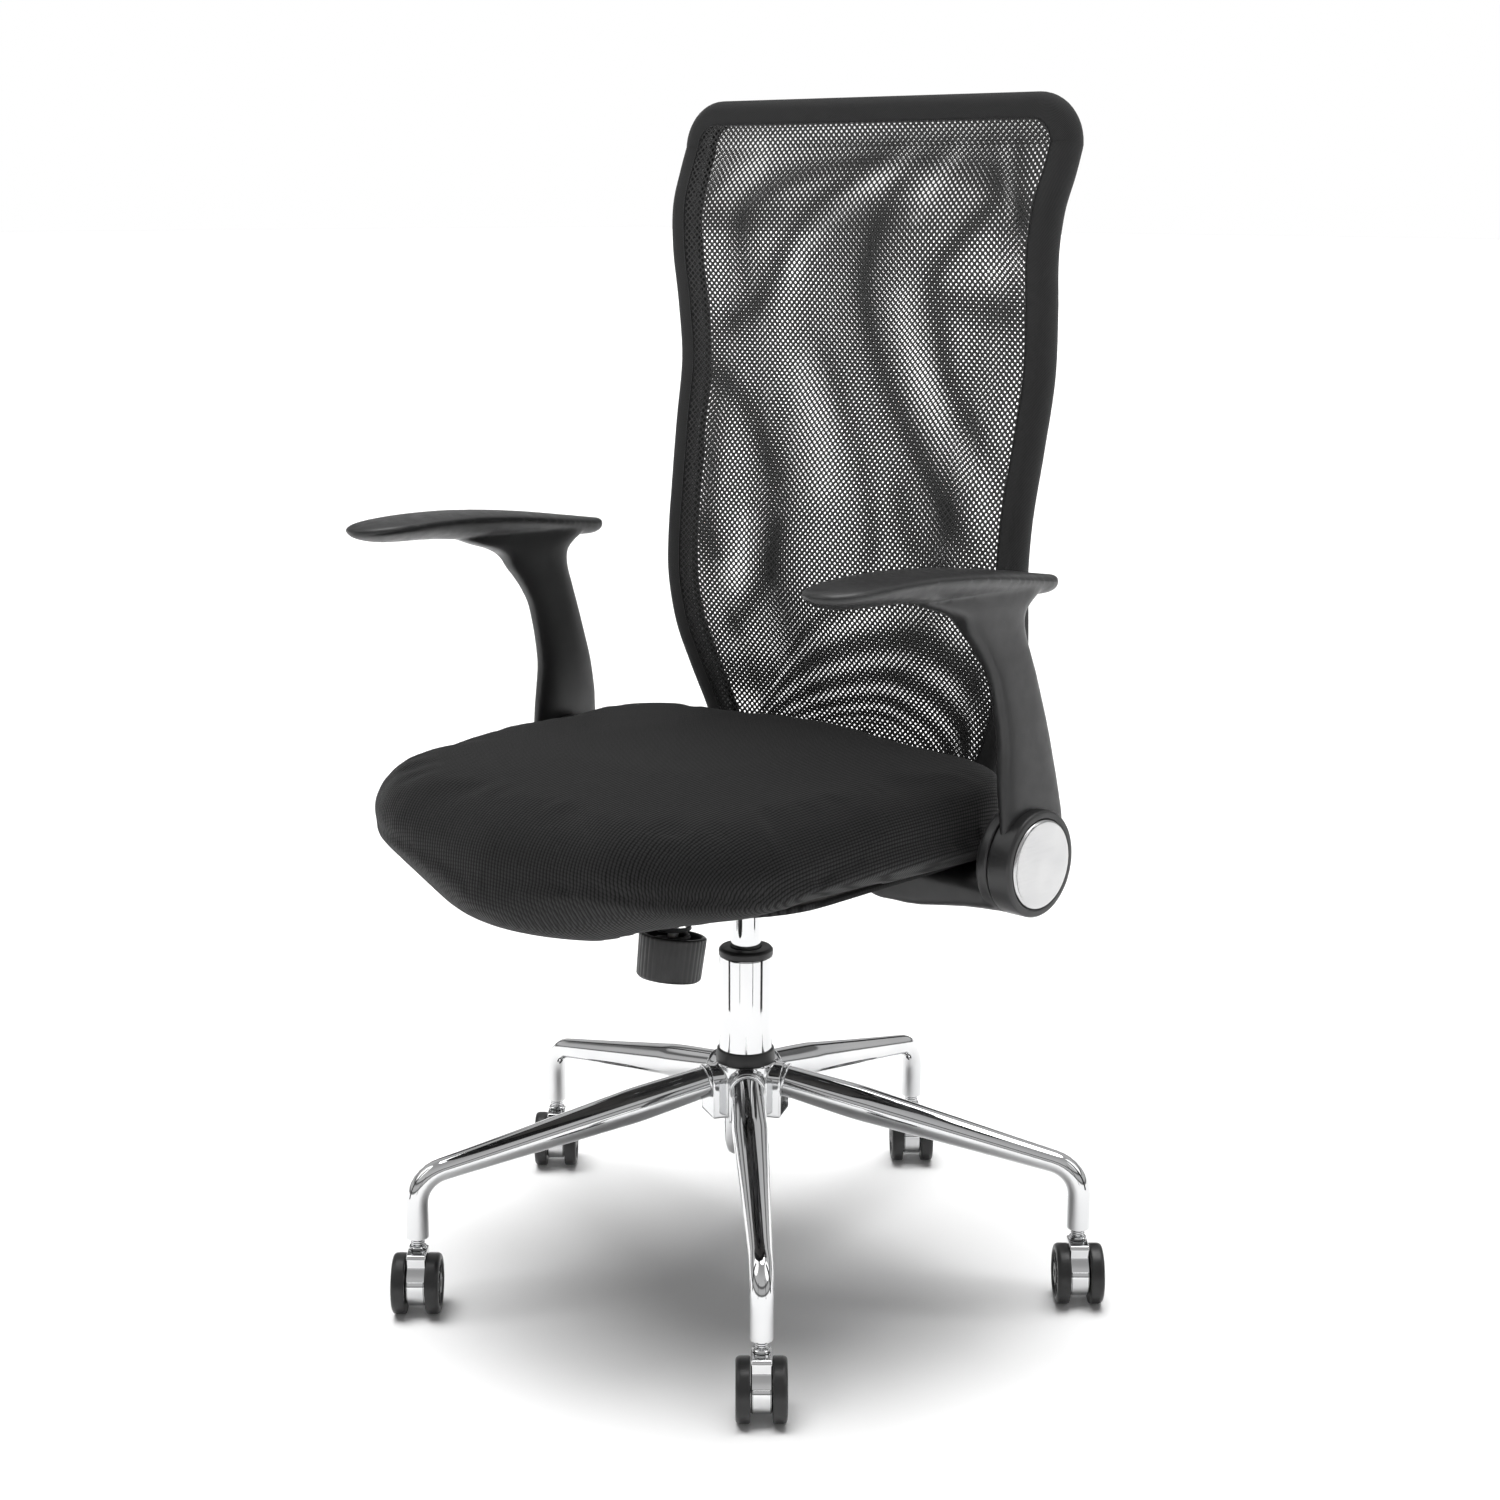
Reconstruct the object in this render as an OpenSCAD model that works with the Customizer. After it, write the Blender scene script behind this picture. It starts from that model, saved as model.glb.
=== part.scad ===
// Swivel office chair with a mesh back, flip-up arms and a five-legged tube base.
// Millimetres. +Z is up, the origin is on the floor under the swivel axis,
// and the chair faces -Y, so the sitter's left is +X.

/* [Seat] */
// Width of the seat cushion
seat_w = 500; // [460:5:520]
// Distance from the swivel axis to the front of the cushion
seat_front = 330; // [300:5:340]
// Distance from the swivel axis to the rear of the cushion
seat_rear = 124; // [110:1:126]
// Height of the underside of the seat board
seat_z = 424; // [424:1:430]
// Thickness of the cushion above the board's underside
seat_t = 76; // [60:1:90]
// How far the front of the cushion droops below the board
seat_droop = 36; // [20:1:40]

/* [Back] */
// Height of the top bar's centre line
back_top = 1067; // [1045:1:1085]
// Half the distance between the upright tubes at the top
back_half_w = 219; // [200:1:225]
// Radius of the frame tube
frame_r = 11; // [9:0.5:12]
// Radius of the bend at each top corner
frame_bend = 32; // [28:1:50]

/* [Arms] */
// Distance from the middle of the chair to the outer face of an arm's barrel
arm_x = 305; // [300:1:310]
// Height of the arms' hinge axis
arm_z = 437; // [435:1:440]
// Distance of the arms' hinge axis behind the swivel axis
arm_y = 39; // [35:1:42]
// Radius of the hinge barrel
barrel_r = 46.5; // [44:0.5:48]

/* [Base] */
// Radius of the circle through the castor stems
castor_circle_r = 316.7; // [300:1:330]
// Direction of the first leg, turned from the front towards the sitter's left
leg_heading = 45.2; // [0:0.1:72]
// Direction that the castors trail in, turned the same way
castor_heading = 43; // [-180:1:180]
// Radius of the castor wheels
wheel_r = 27.5; // [25:0.5:28]
// Distance from a castor's stem axis to its axle
castor_trail = 10; // [6:1:12]

/* [Column] */
// Radius of the chrome column tube
column_r = 25; // [24.6:0.1:25.4]
// Radius of the gas spring cylinder
gas_r = 14; // [13.6:0.1:14.2]
// Height of the top of the column tube
column_top = 302; // [290:1:305]

/* [Tilt mechanism] */
// Distance of the tilt pivot in front of the swivel axis
pivot_y = -35; // [-37:1:-34]
// Height of the tilt pivot
pivot_z = 405; // [404:1:406]
// Lean of the tension bolt from the vertical
bolt_lean = 9; // [8:0.5:10]

/* [Hidden] */
$fn = 64;
fit = 0.05;              // radial clearance of a running fit
gap = 0.3;               // clearance between faces that slide past each other

hub_z = [148, 200];      // bottom and top of the hub
hub_r = 28.5;
socket_r = 38;           // where the legs leave the hub
leg_z = 182.5;           // height of a leg's centre line where it leaves the hub
leg_low_z = 131;         // and where its bend begins
leg_bend = 30;           // radius of the bend above the castor
leg_end_z = 68;
leg_radii = [14.3, 16.2, 10.4];   // at the hub, at the swelling and at the bend
leg_swell = 0.3;         // where along the leg the swelling is
tube_wall = 1.8;
stem_r = 5.5;
taper_z = 212;           // where the column starts to taper, above the collar
floor_z = 117;           // the column's floor, which carries the thrust bearing
rod_r = 5;
cyl_low = 205;           // bottom of the gas cylinder at rest
cyl_top = 390;
housing_low = 366;
housing_x = 42;          // outer half width of the tilt housing
plate_t = 4;
frame_z = seat_z - frame_r - 0.5;   // the frame tube's height under the seat
frame_x = 150;
corner_y = 167;          // how far back the top corners are
frame_rear = 146;        // the frame tube's distance behind the axis, behind the seat
hook_y = -86;            // pin that pulls the tension bolt up
hook_z = 408;
knob_low = 302;          // height and place of the knob's lower face
knob_y = -103;
pin_r = 6;
bolt_r = 5;

// ---- placing -----------------------------------------------------------------
module at_leg(k) { rotate([0, 0, leg_heading + 72 * k]) rotate([0, 0, -90]) children(); }

// Castor k's own frame: the axle lies along X and the wheels trail towards -Y
module at_castor(k) {
    a = leg_heading + 72 * k;
    translate([castor_circle_r * sin(a), -castor_circle_r * cos(a), 0])
        rotate([0, 0, castor_heading]) children();
}

// The tension bolt's frame: origin at the knob's lower face, +Z up along the bolt
module at_bolt() { translate([0, knob_y, knob_low]) rotate([-bolt_lean, 0, 0]) children(); }

// Extrudes an outline drawn in Y and Z along X, from x0 to x1
module along_x(x0, x1) { translate([x0, 0, 0]) rotate([90, 0, 90]) linear_extrude(x1 - x0) children(); }

// Both sides of the chair
module both_sides() { children(); mirror([1, 0, 0]) children(); }

// ---- base ----------------------------------------------------------------------
// A leg lies along +X here: a tube that swells and then narrows, a bend, and a short upright.
bend_x = castor_circle_r - leg_bend;
leg_slope = atan((leg_z - leg_low_z) / (bend_x - socket_r));
bend_start = bend_x + leg_bend * sin(leg_slope);   // where the straight part meets the bend
bend_start_z = leg_z - (bend_start - socket_r) * tan(leg_slope);
bend_z = bend_start_z - leg_bend * cos(leg_slope); // height of the bend's centre
run = (bend_start - socket_r) / cos(leg_slope);

// Inside of a leg's tube, up to the bend
module leg_inside() {
    r = [for (q = leg_radii) q - tube_wall];
    translate([socket_r, 0, leg_z]) rotate([0, 90 + leg_slope, 0]) {
        translate([0, 0, -5]) cylinder(h = 5 + run * leg_swell, r1 = r[0], r2 = r[1]);
        translate([0, 0, run * leg_swell]) cylinder(h = run * (1 - leg_swell) - 12, r1 = r[1], r2 = r[2]);
    }
}

// Centre line of a leg with its radius: [x, z, r]
leg_tip = 5;
leg_line = concat(
    [for (t = [0, leg_swell]) [socket_r + t * (bend_start - socket_r), leg_z - t * (leg_z - bend_start_z),
        t == 0 ? leg_radii[0] : leg_radii[1]]],
    [for (i = [0:8]) let (a = (90 - leg_slope) * (1 - i / 8))
        [bend_x + leg_bend * cos(a), bend_z + leg_bend * sin(a), leg_radii[2]]],
    [[castor_circle_r, leg_end_z + leg_tip, leg_radii[2]], [castor_circle_r, leg_end_z, leg_radii[2] - 3]]);
leg_last = len(leg_line) - 1;

module leg(k) {
    color("silver") at_leg(k) difference() {
        swept([for (i = [0:leg_last]) let (q = leg_line[i],
            d = i == 0 ? [1, 0] : i == 1 ? [bend_start - socket_r, bend_start_z - leg_z]
                : [leg_line[min(i + 1, leg_last)][0] - leg_line[i - (i > 2 ? 1 : 0)][0],
                    leg_line[min(i + 1, leg_last)][1] - leg_line[i - (i > 2 ? 1 : 0)][1]])
            round_ring([q[0], 0, q[1]], unit([d[0], 0, d[1]]), [0, 1, 0], q[2], 24)]);
        leg_inside();
        translate([castor_circle_r, 0, leg_end_z - 1]) cylinder(h = 36, r = stem_r + fit);
    }
}

module base_hub() {
    color("silver") difference() {
        union() {
            translate([0, 0, hub_z[0]]) cylinder(h = hub_z[1] - hub_z[0], r = hub_r);
            for (k = [0:4]) at_leg(k) {
                translate([0, 0, leg_z]) rotate([0, 90, 0])
                    cylinder(h = socket_r, r = hub_z[1] - leg_z - 0.6);
                translate([0, -14, hub_z[0] + 2]) cube([socket_r - 0.4, 28, leg_z - hub_z[0] - 2]);
            }
        }
        column_outline();
    }
}

module castor_stems() {
    color("silver") for (k = [0:4]) at_castor(k) {
        translate([0, 0, 34]) cylinder(h = 24, r = 4);
        translate([0, 0, 57.4]) cylinder(h = 3, r = 7.5);
        for (i = [0:3]) translate([0, 0, 60.4 + 2 * i]) {
            cylinder(h = 1, r1 = stem_r - 0.8, r2 = stem_r);
            translate([0, 0, 1]) cylinder(h = 1, r1 = stem_r, r2 = stem_r - 0.8);
        }
        translate([0, 0, 68.4]) cylinder(h = 32, r = stem_r);
    }
}

// ---- column ------------------------------------------------------------------
module column_outline() {
    translate([0, 0, 110]) cylinder(h = 12, r1 = 17, r2 = 20);
    translate([0, 0, 122]) cylinder(h = 26, r = 20);
    translate([0, 0, 148]) cylinder(h = taper_z - 148, r1 = 22.6, r2 = column_r);
}

module column_tube() {
    color("silver") difference() {
        union() {
            column_outline();
            translate([0, 0, taper_z]) cylinder(h = column_top - taper_z, r = column_r);
        }
        translate([0, 0, floor_z + 3]) cylinder(h = 32, r = 17.5);
        translate([0, 0, 150]) cylinder(h = 200, r = 20.5);
        translate([0, 0, taper_z]) cylinder(h = 200, r = 23.4);
        translate([0, 0, 100]) cylinder(h = 30, r = rod_r + 0.4);
        translate([0, 0, 100]) cylinder(h = floor_z - 100, r = 12);
    }
}

module column_collar() {
    color("#181818") difference() {
        translate([0, 0, hub_z[1]]) cylinder(h = 12, r1 = 28, r2 = 26.6);
        translate([0, 0, hub_z[1] - 1]) cylinder(h = 20, r = column_r);
    }
}

// Plastic sleeve that guides the gas cylinder, with the ring seen on top of the tube
module column_bush() {
    color("#151515") difference() {
        union() {
            translate([0, 0, 226]) cylinder(h = column_top - 226, r = 23.4);
            translate([0, 0, column_top]) cylinder(h = 6, r = column_r);
            translate([0, 0, column_top + 6]) cylinder(h = 2, r1 = column_r, r2 = column_r - 2);
        }
        translate([0, 0, 220]) cylinder(h = 100, r = gas_r + fit);
    }
}

module thrust_bearing() {
    color("gray") translate([0, 0, floor_z + 3]) difference() {
        union() {
            cylinder(h = 1.5, r = 14);
            translate([0, 0, 1.5]) cylinder(h = 3, r = 12.5);
            translate([0, 0, 4.5]) cylinder(h = 1.5, r = 14);
        }
        translate([0, 0, -1]) cylinder(h = 10, r = rod_r + fit);
    }
}

// Rod of the gas spring: it stands on the bearing and carries the piston
module piston_rod() {
    color("silver") {
        difference() {
            translate([0, 0, 112]) cylinder(h = 160, r = rod_r);
            translate([0, 0, 114.9]) rotate_extrude() translate([rod_r - 1, 0]) square([3, 1.4]);
        }
        translate([0, 0, floor_z + 9.2]) cylinder(h = 3, r = 10);
        translate([0, 0, 270]) cylinder(h = 9, r = 12);
    }
}

module rod_clip() {
    color("gray") translate([0, 0, 115]) difference() {
        cylinder(h = 1.2, r = 8.5);
        translate([0, 0, -1]) cylinder(h = 4, r = rod_r - 0.9);
        translate([-2, 0, -1]) cube([4, 20, 4]);
    }
}

// ---- gas cylinder and its release ----------------------------------------------
module gas_taper() {
    translate([0, 0, 356]) cylinder(h = cyl_top - 356, r1 = gas_r, r2 = gas_r - 1.1);
}

module gas_cylinder() {
    color("silver") difference() {
        union() {
            translate([0, 0, cyl_low]) cylinder(h = 356 - cyl_low, r = gas_r);
            gas_taper();
        }
        translate([0, 0, cyl_low + 8]) cylinder(h = 162, r = 12 + fit);
        translate([0, 0, cyl_low - 1]) cylinder(h = 20, r = rod_r + fit);
        translate([0, 0, 360]) cylinder(h = 60, r = 4 + fit);
    }
}

module release_pin() {
    color("gray") translate([0, 0, 381]) cylinder(h = 14.6, r = 4);
}

module taper_socket() {
    color("#202020") difference() {
        translate([0, 0, 356]) cylinder(h = 31, r = 19);
        gas_taper();
    }
}

// ---- tilt mechanism ------------------------------------------------------------
// Side outline of the housing: low in front under the hook pin, high at the pivot,
// and low at the rear where the seat plate comes down
module housing_outline() {
    polygon([[-112, housing_low], [-112, 392], [-64, 392], [-52, 400], [-45, 414], [-25, 414],
        [4, 405], [50, 391], [50, housing_low]]);
}

module tilt_housing() {
    color("#1c1c1c") difference() {
        union() {
            difference() {
                along_x(-housing_x, housing_x) housing_outline();
                translate([3 - housing_x, -109, housing_low + 3]) cube([2 * housing_x - 6, 156, 80]);
            }
            // block inside the wall that carries the lever's pivot pin
            translate([-housing_x + 1, -12, 388]) cube([8, 24, 14.5]);
        }
        translate([0, 0, 300]) cylinder(h = 100, r = 19);
        translate([-60, pivot_y, pivot_z]) rotate([0, 90, 0]) cylinder(h = 120, r = pin_r + fit);
        at_bolt() cylinder(h = 90, r = bolt_r + 1.2);
        // hole for the lever's pivot pin and slot that the lever rod leaves through
        translate([-60, -5, 395]) cube([30, 10, 30]);
        translate([lever_x, 20, lever_z]) rotate([90, 0, 0]) cylinder(h = 40, r = lever_pin_r + 0.1);
    }
}

module pivot_pin() {
    color("gray") translate([-50, pivot_y, pivot_z]) rotate([0, 90, 0]) {
        cylinder(h = 100, r = pin_r);
        translate([0, 0, -2]) cylinder(h = 2, r = pin_r + 2.5);
        translate([0, 0, 100]) cylinder(h = 2, r = pin_r + 2.5);
    }
}

// Rod from the release pin out to the sitter's right
lever_r = 4;
lever_bends = [[7, 0, 400], [-20, 0, 400], [-48, 0, 400], [-66, -6, 398], [-98, -29, 387.5],
    [-118, -35, 385.6], [-150, -35, 384.5], [-232, -35, 382]];
lever_x = -38.5;          // pin the lever rocks on
lever_z = 400;
lever_pin_r = 1.6;
lever_n = len(lever_bends) - 1;
lever_line = [for (i = [0:lever_n - 1], t = i > 1 && i < 5 ? [0:0.25:0.9] : [0])
    spline(lever_bends[max(i - 1, 0)], lever_bends[i], lever_bends[i + 1],
        lever_bends[min(i + 2, lever_n)], t)];

module lever_rod() {
    line = concat(lever_line, [lever_bends[lever_n]]);
    color("#222222") swept([for (i = [0:len(line) - 1])
        let (t = unit(line[min(i + 1, len(line) - 1)] - line[max(i - 1, 0)]))
        round_ring(line[i], t, [0, 0, 1], lever_r)]);
}

module lever_pin() {
    color("gray") translate([lever_x, 11, lever_z]) rotate([90, 0, 0]) cylinder(h = 22, r = lever_pin_r);
}

module lever_grip() {
    color("#161616") difference() {
        hull() {
            translate([-160, -35, 383.8]) sphere(6.5, $fn = 32);
            translate([-236, -29, 381.5]) sphere(5, $fn = 32);
            translate([-236, -43, 381.5]) sphere(5, $fn = 32);
        }
        a = lever_bends[lever_n - 1];
        d = lever_bends[lever_n] - a;
        translate(a) rotate([0, acos(d[2] / norm(d)), atan2(d[1], d[0])]) cylinder(h = norm(d), r = lever_r);
    }
}

// Steel plate under the seat board, with two ears that carry the pivot and the hook pin
module seat_plate() {
    color("#1c1c1c") difference() {
        union() {
            translate([-85, -120, seat_z - plate_t]) cube([170, 195, plate_t]);
            both_sides() along_x(housing_x + 1.5, housing_x + 4.5)
                polygon([[-100, 420.5], [-98, 400], [-80, 398], [-42, 394], [-28, 394], [-14, 420.5]]);
        }
        translate([-60, pivot_y, pivot_z]) rotate([0, 90, 0]) cylinder(h = 120, r = pin_r);
        translate([-60, hook_y, hook_z]) rotate([0, 90, 0]) cylinder(h = 120, r = 4.5);
        seat_bolt_places() translate([0, 0, seat_z - 10]) cylinder(h = 20, r = 3.3);
    }
}

module hook_pin() {
    color("gray") translate([-housing_x - 6, hook_y, hook_z]) rotate([0, 90, 0])
        cylinder(h = 2 * housing_x + 12, r = 4.5);
}

module seat_bolt_places() { for (x = [-66, 66], y = [-85, 45]) translate([x, y, 0]) children(); }

module seat_bolts() {
    color("gray") seat_bolt_places() {
        translate([0, 0, seat_z - plate_t - 4]) cylinder(h = 4, r = 6);
        translate([0, 0, seat_z - plate_t]) cylinder(h = 14, r = 3);
    }
}

module tension_bolt() {
    color("gray") difference() {
        union() {
            at_bolt() translate([0, 0, 6]) cylinder(h = 98, r = bolt_r);
            translate([-6, hook_y, hook_z]) rotate([0, 90, 0]) cylinder(h = 12, r = 9.5);
        }
        translate([-20, hook_y, hook_z]) rotate([0, 90, 0]) cylinder(h = 40, r = 5.3);
    }
}

// Coil spring around the tension bolt
spring_r = 14;
spring_wire = 2.2;
spring_low = 12;
spring_high = 58;
spring_turns = 5;
spring_steps = 90;
spring_sides = 8;
module tension_spring() {
    span = spring_high - spring_low - 2 * spring_wire;
    rings = [for (i = [0:spring_steps]) let (t = i / spring_steps, a = 360 * spring_turns * t)
        [for (j = [0:spring_sides - 1]) let (b = 360 * j / spring_sides, r = spring_r + spring_wire * cos(b))
            [r * cos(a), r * sin(a), spring_low + spring_wire + span * t + spring_wire * sin(b)]]];
    color("dimgray") at_bolt() swept(rings);
}

module spring_seat() {
    color("gray") at_bolt() translate([0, 0, 58.6]) difference() {
        cylinder(h = 3, r = 18);
        translate([0, 0, -1]) cylinder(h = 8, r = bolt_r + 0.6);
    }
}

knob_h = 41;
module tension_knob() {
    color("#151515") at_bolt() difference() {
        union() {
            cylinder(h = 2, r1 = 27.5, r2 = 28.8);
            translate([0, 0, 2]) cylinder(h = knob_h - 2, r1 = 28.8, r2 = 30.2);
            for (a = [0:12:348]) rotate([0, 0, a]) translate([28.6, 0, 3])
                rotate([0, 2, 0]) cylinder(h = knob_h - 4, r = 1.4, $fn = 16);
        }
        translate([0, 0, 11]) cylinder(h = knob_h, r = 26);
        translate([0, 0, 5]) cylinder(h = knob_h, r = bolt_r + fit);
    }
}

// ---- seat ----------------------------------------------------------------------
// Round cushion corner: radius r, from z0 to z1, edges rounded by low and high
module puck(r, z0, z1, low, high) {
    rotate_extrude($fn = 44) polygon(concat([[0, z0]],
        [for (a = [-90:22.5:0]) [r - low + low * cos(a), z0 + low + low * sin(a)]],
        [for (a = [0:18:90]) [r - high + high * cos(a), z1 - high + high * sin(a)]], [[0, z1]]));
}

module board_outline(grow = 0) {
    x = 226 + grow;
    for (s = [-1, 1]) {
        translate([s * (x - 110), -150]) circle(110 + grow);
        translate([s * (x - 60), seat_rear - 72]) circle(60 + grow);
    }
    square_y = seat_rear - 72;
    translate([-x - grow, -150]) square([2 * x + 2 * grow, square_y + 150]);
    translate([110 - x, -260 - grow]) square([2 * x - 220, seat_rear - 12 + 260 + 2 * grow]);
    translate([60 - x, -150]) square([2 * x - 120, seat_rear - 12 + 150 + grow]);
}

module seat_cushion() {
    top = seat_z + seat_t;
    color("#222222") difference() {
        hull() {
            both_sides() {
                translate([seat_w / 2 - 147, 152 - seat_front, 0])
                    puck(140, seat_z - 3, top - 3, 42, 40);
                translate([seat_w / 2 - 130, 245 - seat_front, 0]) puck(130, seat_z + 2, top + 2, 34, 34);
                translate([seat_w / 2 - 84, seat_rear - 80, 0]) puck(80, seat_z + 2, top - 1, 14, 20);
            }
            translate([0, 170 - seat_front, 0]) puck(170, seat_z - seat_droop, top - 5, 44, 46);
            translate([0, 255 - seat_front, 0]) puck(140, seat_z, top + 7, 14, 40);
            translate([0, seat_rear - 102, 0]) puck(110, seat_z, top + 6, 14, 14);
        }
        translate([0, 0, seat_z - 60]) linear_extrude(72 + 0.1) board_outline(0.1);
        both_sides() translate([147, arm_y - barrel_r - 1, seat_z - 60]) cube([120, 2 * barrel_r + 2, 60.2]);
    }
}

module seat_board() {
    color("tan") difference() {
        translate([0, 0, seat_z]) linear_extrude(12) board_outline();
        seat_bolt_places() translate([0, 0, seat_z - 1]) cylinder(h = 11.1, r = 3);
        clamp_bolt_places() translate([0, 0, seat_z - 1]) cylinder(h = 11.1, r = 2.5);
        arm_bolt_places() translate([0, 0, seat_z - 1]) cylinder(h = 11.1, r = 3);
    }
}

// ---- back ----------------------------------------------------------------------
// Closed tube through rings of points
module swept(rings) {
    n = len(rings[0]);
    m = len(rings);
    polyhedron([for (ring = rings) for (q = ring) q], concat(
        [[for (j = [0:n - 1]) n - 1 - j]], [[for (j = [0:n - 1]) (m - 1) * n + j]],
        [for (i = [0:m - 2], j = [0:n - 1]) let (k = (j + 1) % n)
            [i * n + j, i * n + k, (i + 1) * n + k, (i + 1) * n + j]]));
}

// Points of the frame's left upright, from under the seat to below the top bend
upright = [[frame_x, 22, frame_z], [frame_x, 60, frame_z], [frame_x, 100, frame_z],
    [frame_x, 112, frame_z + 0.3], [frame_x, 134, frame_z + 9], [frame_x + 1, frame_rear, frame_z + 30],
    [161, frame_rear + 1, 470],
    [175, 147, 500], [190, 140, 540], [201, 132, 580], [205, 126, 625], [204, 125, 665], [204, 130, 715],
    [207, 140, 775], [209, 150, 835], [211.5, 148, 890], [214, 143, 940], [217, 146, 980],
    [back_half_w, 158, 1012], [back_half_w, corner_y, back_top - frame_bend]];

function spline(a, b, c, d, t) =
    0.5 * (2 * b + (c - a) * t + (2 * a - 5 * b + 4 * c - d) * t * t + (3 * b - a - 3 * c + d) * t * t * t);
up_n = len(upright) - 1;
up_line = [for (i = [0:up_n - 1], t = [0:0.5:0.99])
    spline(upright[max(i - 1, 0)], upright[i], upright[i + 1], upright[min(i + 2, up_n)], t)];
bend_line = [for (a = [0:11.25:90])
    [back_half_w - frame_bend + frame_bend * cos(a), corner_y + sin(a),
        back_top - frame_bend + frame_bend * sin(a)]];
half_line = concat(up_line, bend_line);
half_n = len(half_line);
frame_line = concat(half_line,
    [for (i = [0:half_n - 1]) let (q = half_line[half_n - 1 - i]) [-q[0], q[1], q[2]]]);

// Ring of n points around q, square to the direction t, the first one towards ref
function unit(v) = v / norm(v);
function round_ring(q, t, ref, r, n = 12) = let (u = unit(ref - (ref * t) * t), w = cross(t, u))
    [for (j = [0:n - 1]) q + r * cos(360 * j / n) * u + r * sin(360 * j / n) * w];

// Ring i of the frame tube. Under the seat it starts from the X direction and in the top bend
// from the outward normal, which agree on the uprights, so that the tube doesn't twist.
// The bore's end rings stand past the tube's ends.
frame_n = len(frame_line);
function frame_ring(i, r, past = 0, n = 12) = let (q = frame_line[i],
        t = unit(frame_line[min(i + 1, frame_n - 1)] - frame_line[max(i - 1, 0)]),
        shift = i == 0 || i == frame_n - 1 ? [0, -past, 0] : [0, 0, 0])
    round_ring(q + shift, t, q[2] > 500 ? cross([0, 1, 0], t) : [sign(q[0]), 0, 0], r, n);

module back_frame() {
    color("#1a1a1a") difference() {
        swept([for (i = [frame_n - 1:-1:0]) frame_ring(i, frame_r)]);
        swept([for (i = [frame_n - 1:-1:0]) frame_ring(i, frame_r - tube_wall, 1, 8)]);
    }
}

// Mesh cover, drawn here as a thin panel between the tubes
mesh_t = 3;
module back_mesh() {
    inset = frame_r + 1.6;
    side = concat([for (q = up_line) if (q[2] > 445 && q[2] < back_top - frame_bend - 2)
            [q[0] - inset, q[1], q[2]]],
        [for (a = [0:15:75]) [back_half_w - frame_bend + (frame_bend - inset) * cos(a), corner_y,
            back_top - frame_bend + (frame_bend - inset) * sin(a)]]);
    color("#333333") swept([for (q = side) [[q[0], q[1] - mesh_t / 2, q[2]], [-q[0], q[1] - mesh_t / 2, q[2]],
        [-q[0], q[1] + mesh_t / 2, q[2]], [q[0], q[1] + mesh_t / 2, q[2]]]]);
}

clamp_y = [45, 86];
module clamp_places() { both_sides() for (y = clamp_y) translate([frame_x, y, 0]) children(); }
module clamp_bolt_places() { clamp_places() for (s = [-17, 17]) translate([s, 0, 0]) children(); }

module frame_clamps() {
    color("#202020") clamp_places() difference() {
        translate([-22, -8, frame_z - frame_r - 2.5]) cube([44, 16, seat_z - frame_z + frame_r + 2.3]);
        translate([0, -20, frame_z]) rotate([-90, 0, 0]) cylinder(h = 40, r = frame_r + 0.1);
        for (s = [-17, 17]) translate([s, 0, 380]) cylinder(h = 60, r = 2.7);
    }
}

module clamp_bolts() {
    color("gray") clamp_bolt_places() {
        translate([0, 0, frame_z - frame_r - 6]) cylinder(h = 3.5, r = 4.5);
        translate([0, 0, frame_z - frame_r - 2.5])
            cylinder(h = seat_z + 9 - frame_z + frame_r + 2.5, r = 2.5);
    }
}

// ---- arms ----------------------------------------------------------------------
ear_x = [268, 281];      // the bracket's ear beside the barrel
pivot_r = 6;
bush_r = 9;
post_x = [275, 291]; // the post's inner and outer faces
pad_x = 277;

module arm_bolt_places() { both_sides() for (y = [8, 70]) translate([200, y, 0]) children(); }

module arm_bracket() {
    difference() {
        union() {
            // strap under the seat, drawn in X and Z and then from above, clear of the back's clamps
            intersection() {
                translate([0, arm_y + barrel_r, 0]) rotate([90, 0, 0]) linear_extrude(2 * barrel_r)
                    polygon([[150, 423.7], [150, 393], [156, 390], [193, 388.5], [215, 389.5], [236, 397],
                        [240, 402], [240, 423.7]]);
                translate([0, 0, 380]) linear_extrude(50)
                    polygon([[149, -10], [149, 17], [163, 17], [176, 34], [176, 90], [250, 90], [250, -10]]);
            }
            // neck and ear, which follow the barrel
            along_x(225, ear_x[1]) intersection() {
                translate([arm_y, arm_z]) circle(barrel_r);
                translate([arm_y - 60, arm_z - 60]) square([120, 60 + 423.7 - arm_z]);
            }
            translate([ear_x[0], arm_y, arm_z]) rotate([0, 90, 0])
                cylinder(h = ear_x[1] - ear_x[0], r = barrel_r);
        }
        translate([240, arm_y, arm_z]) rotate([0, 90, 0]) cylinder(h = 40, r = pivot_r);
        for (y = [8, 70]) translate([200, y, 380]) {
            cylinder(h = 60, r = 3.3);
            cylinder(h = 20, r = 7);
        }
    }
}

module arm_bolts() {
    color("gray") arm_bolt_places() {
        translate([0, 0, 396]) cylinder(h = 4, r = 5.5);
        translate([0, 0, 400]) cylinder(h = seat_z + 9 - 400, r = 3);
    }
}

module arm_pivot() {
    translate([ear_x[0] - 1, arm_y, arm_z]) rotate([0, 90, 0]) {
        cylinder(h = 29, r = pivot_r);
        translate([0, 0, 29]) cylinder(h = 3, r = 8.5);
    }
}

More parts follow.
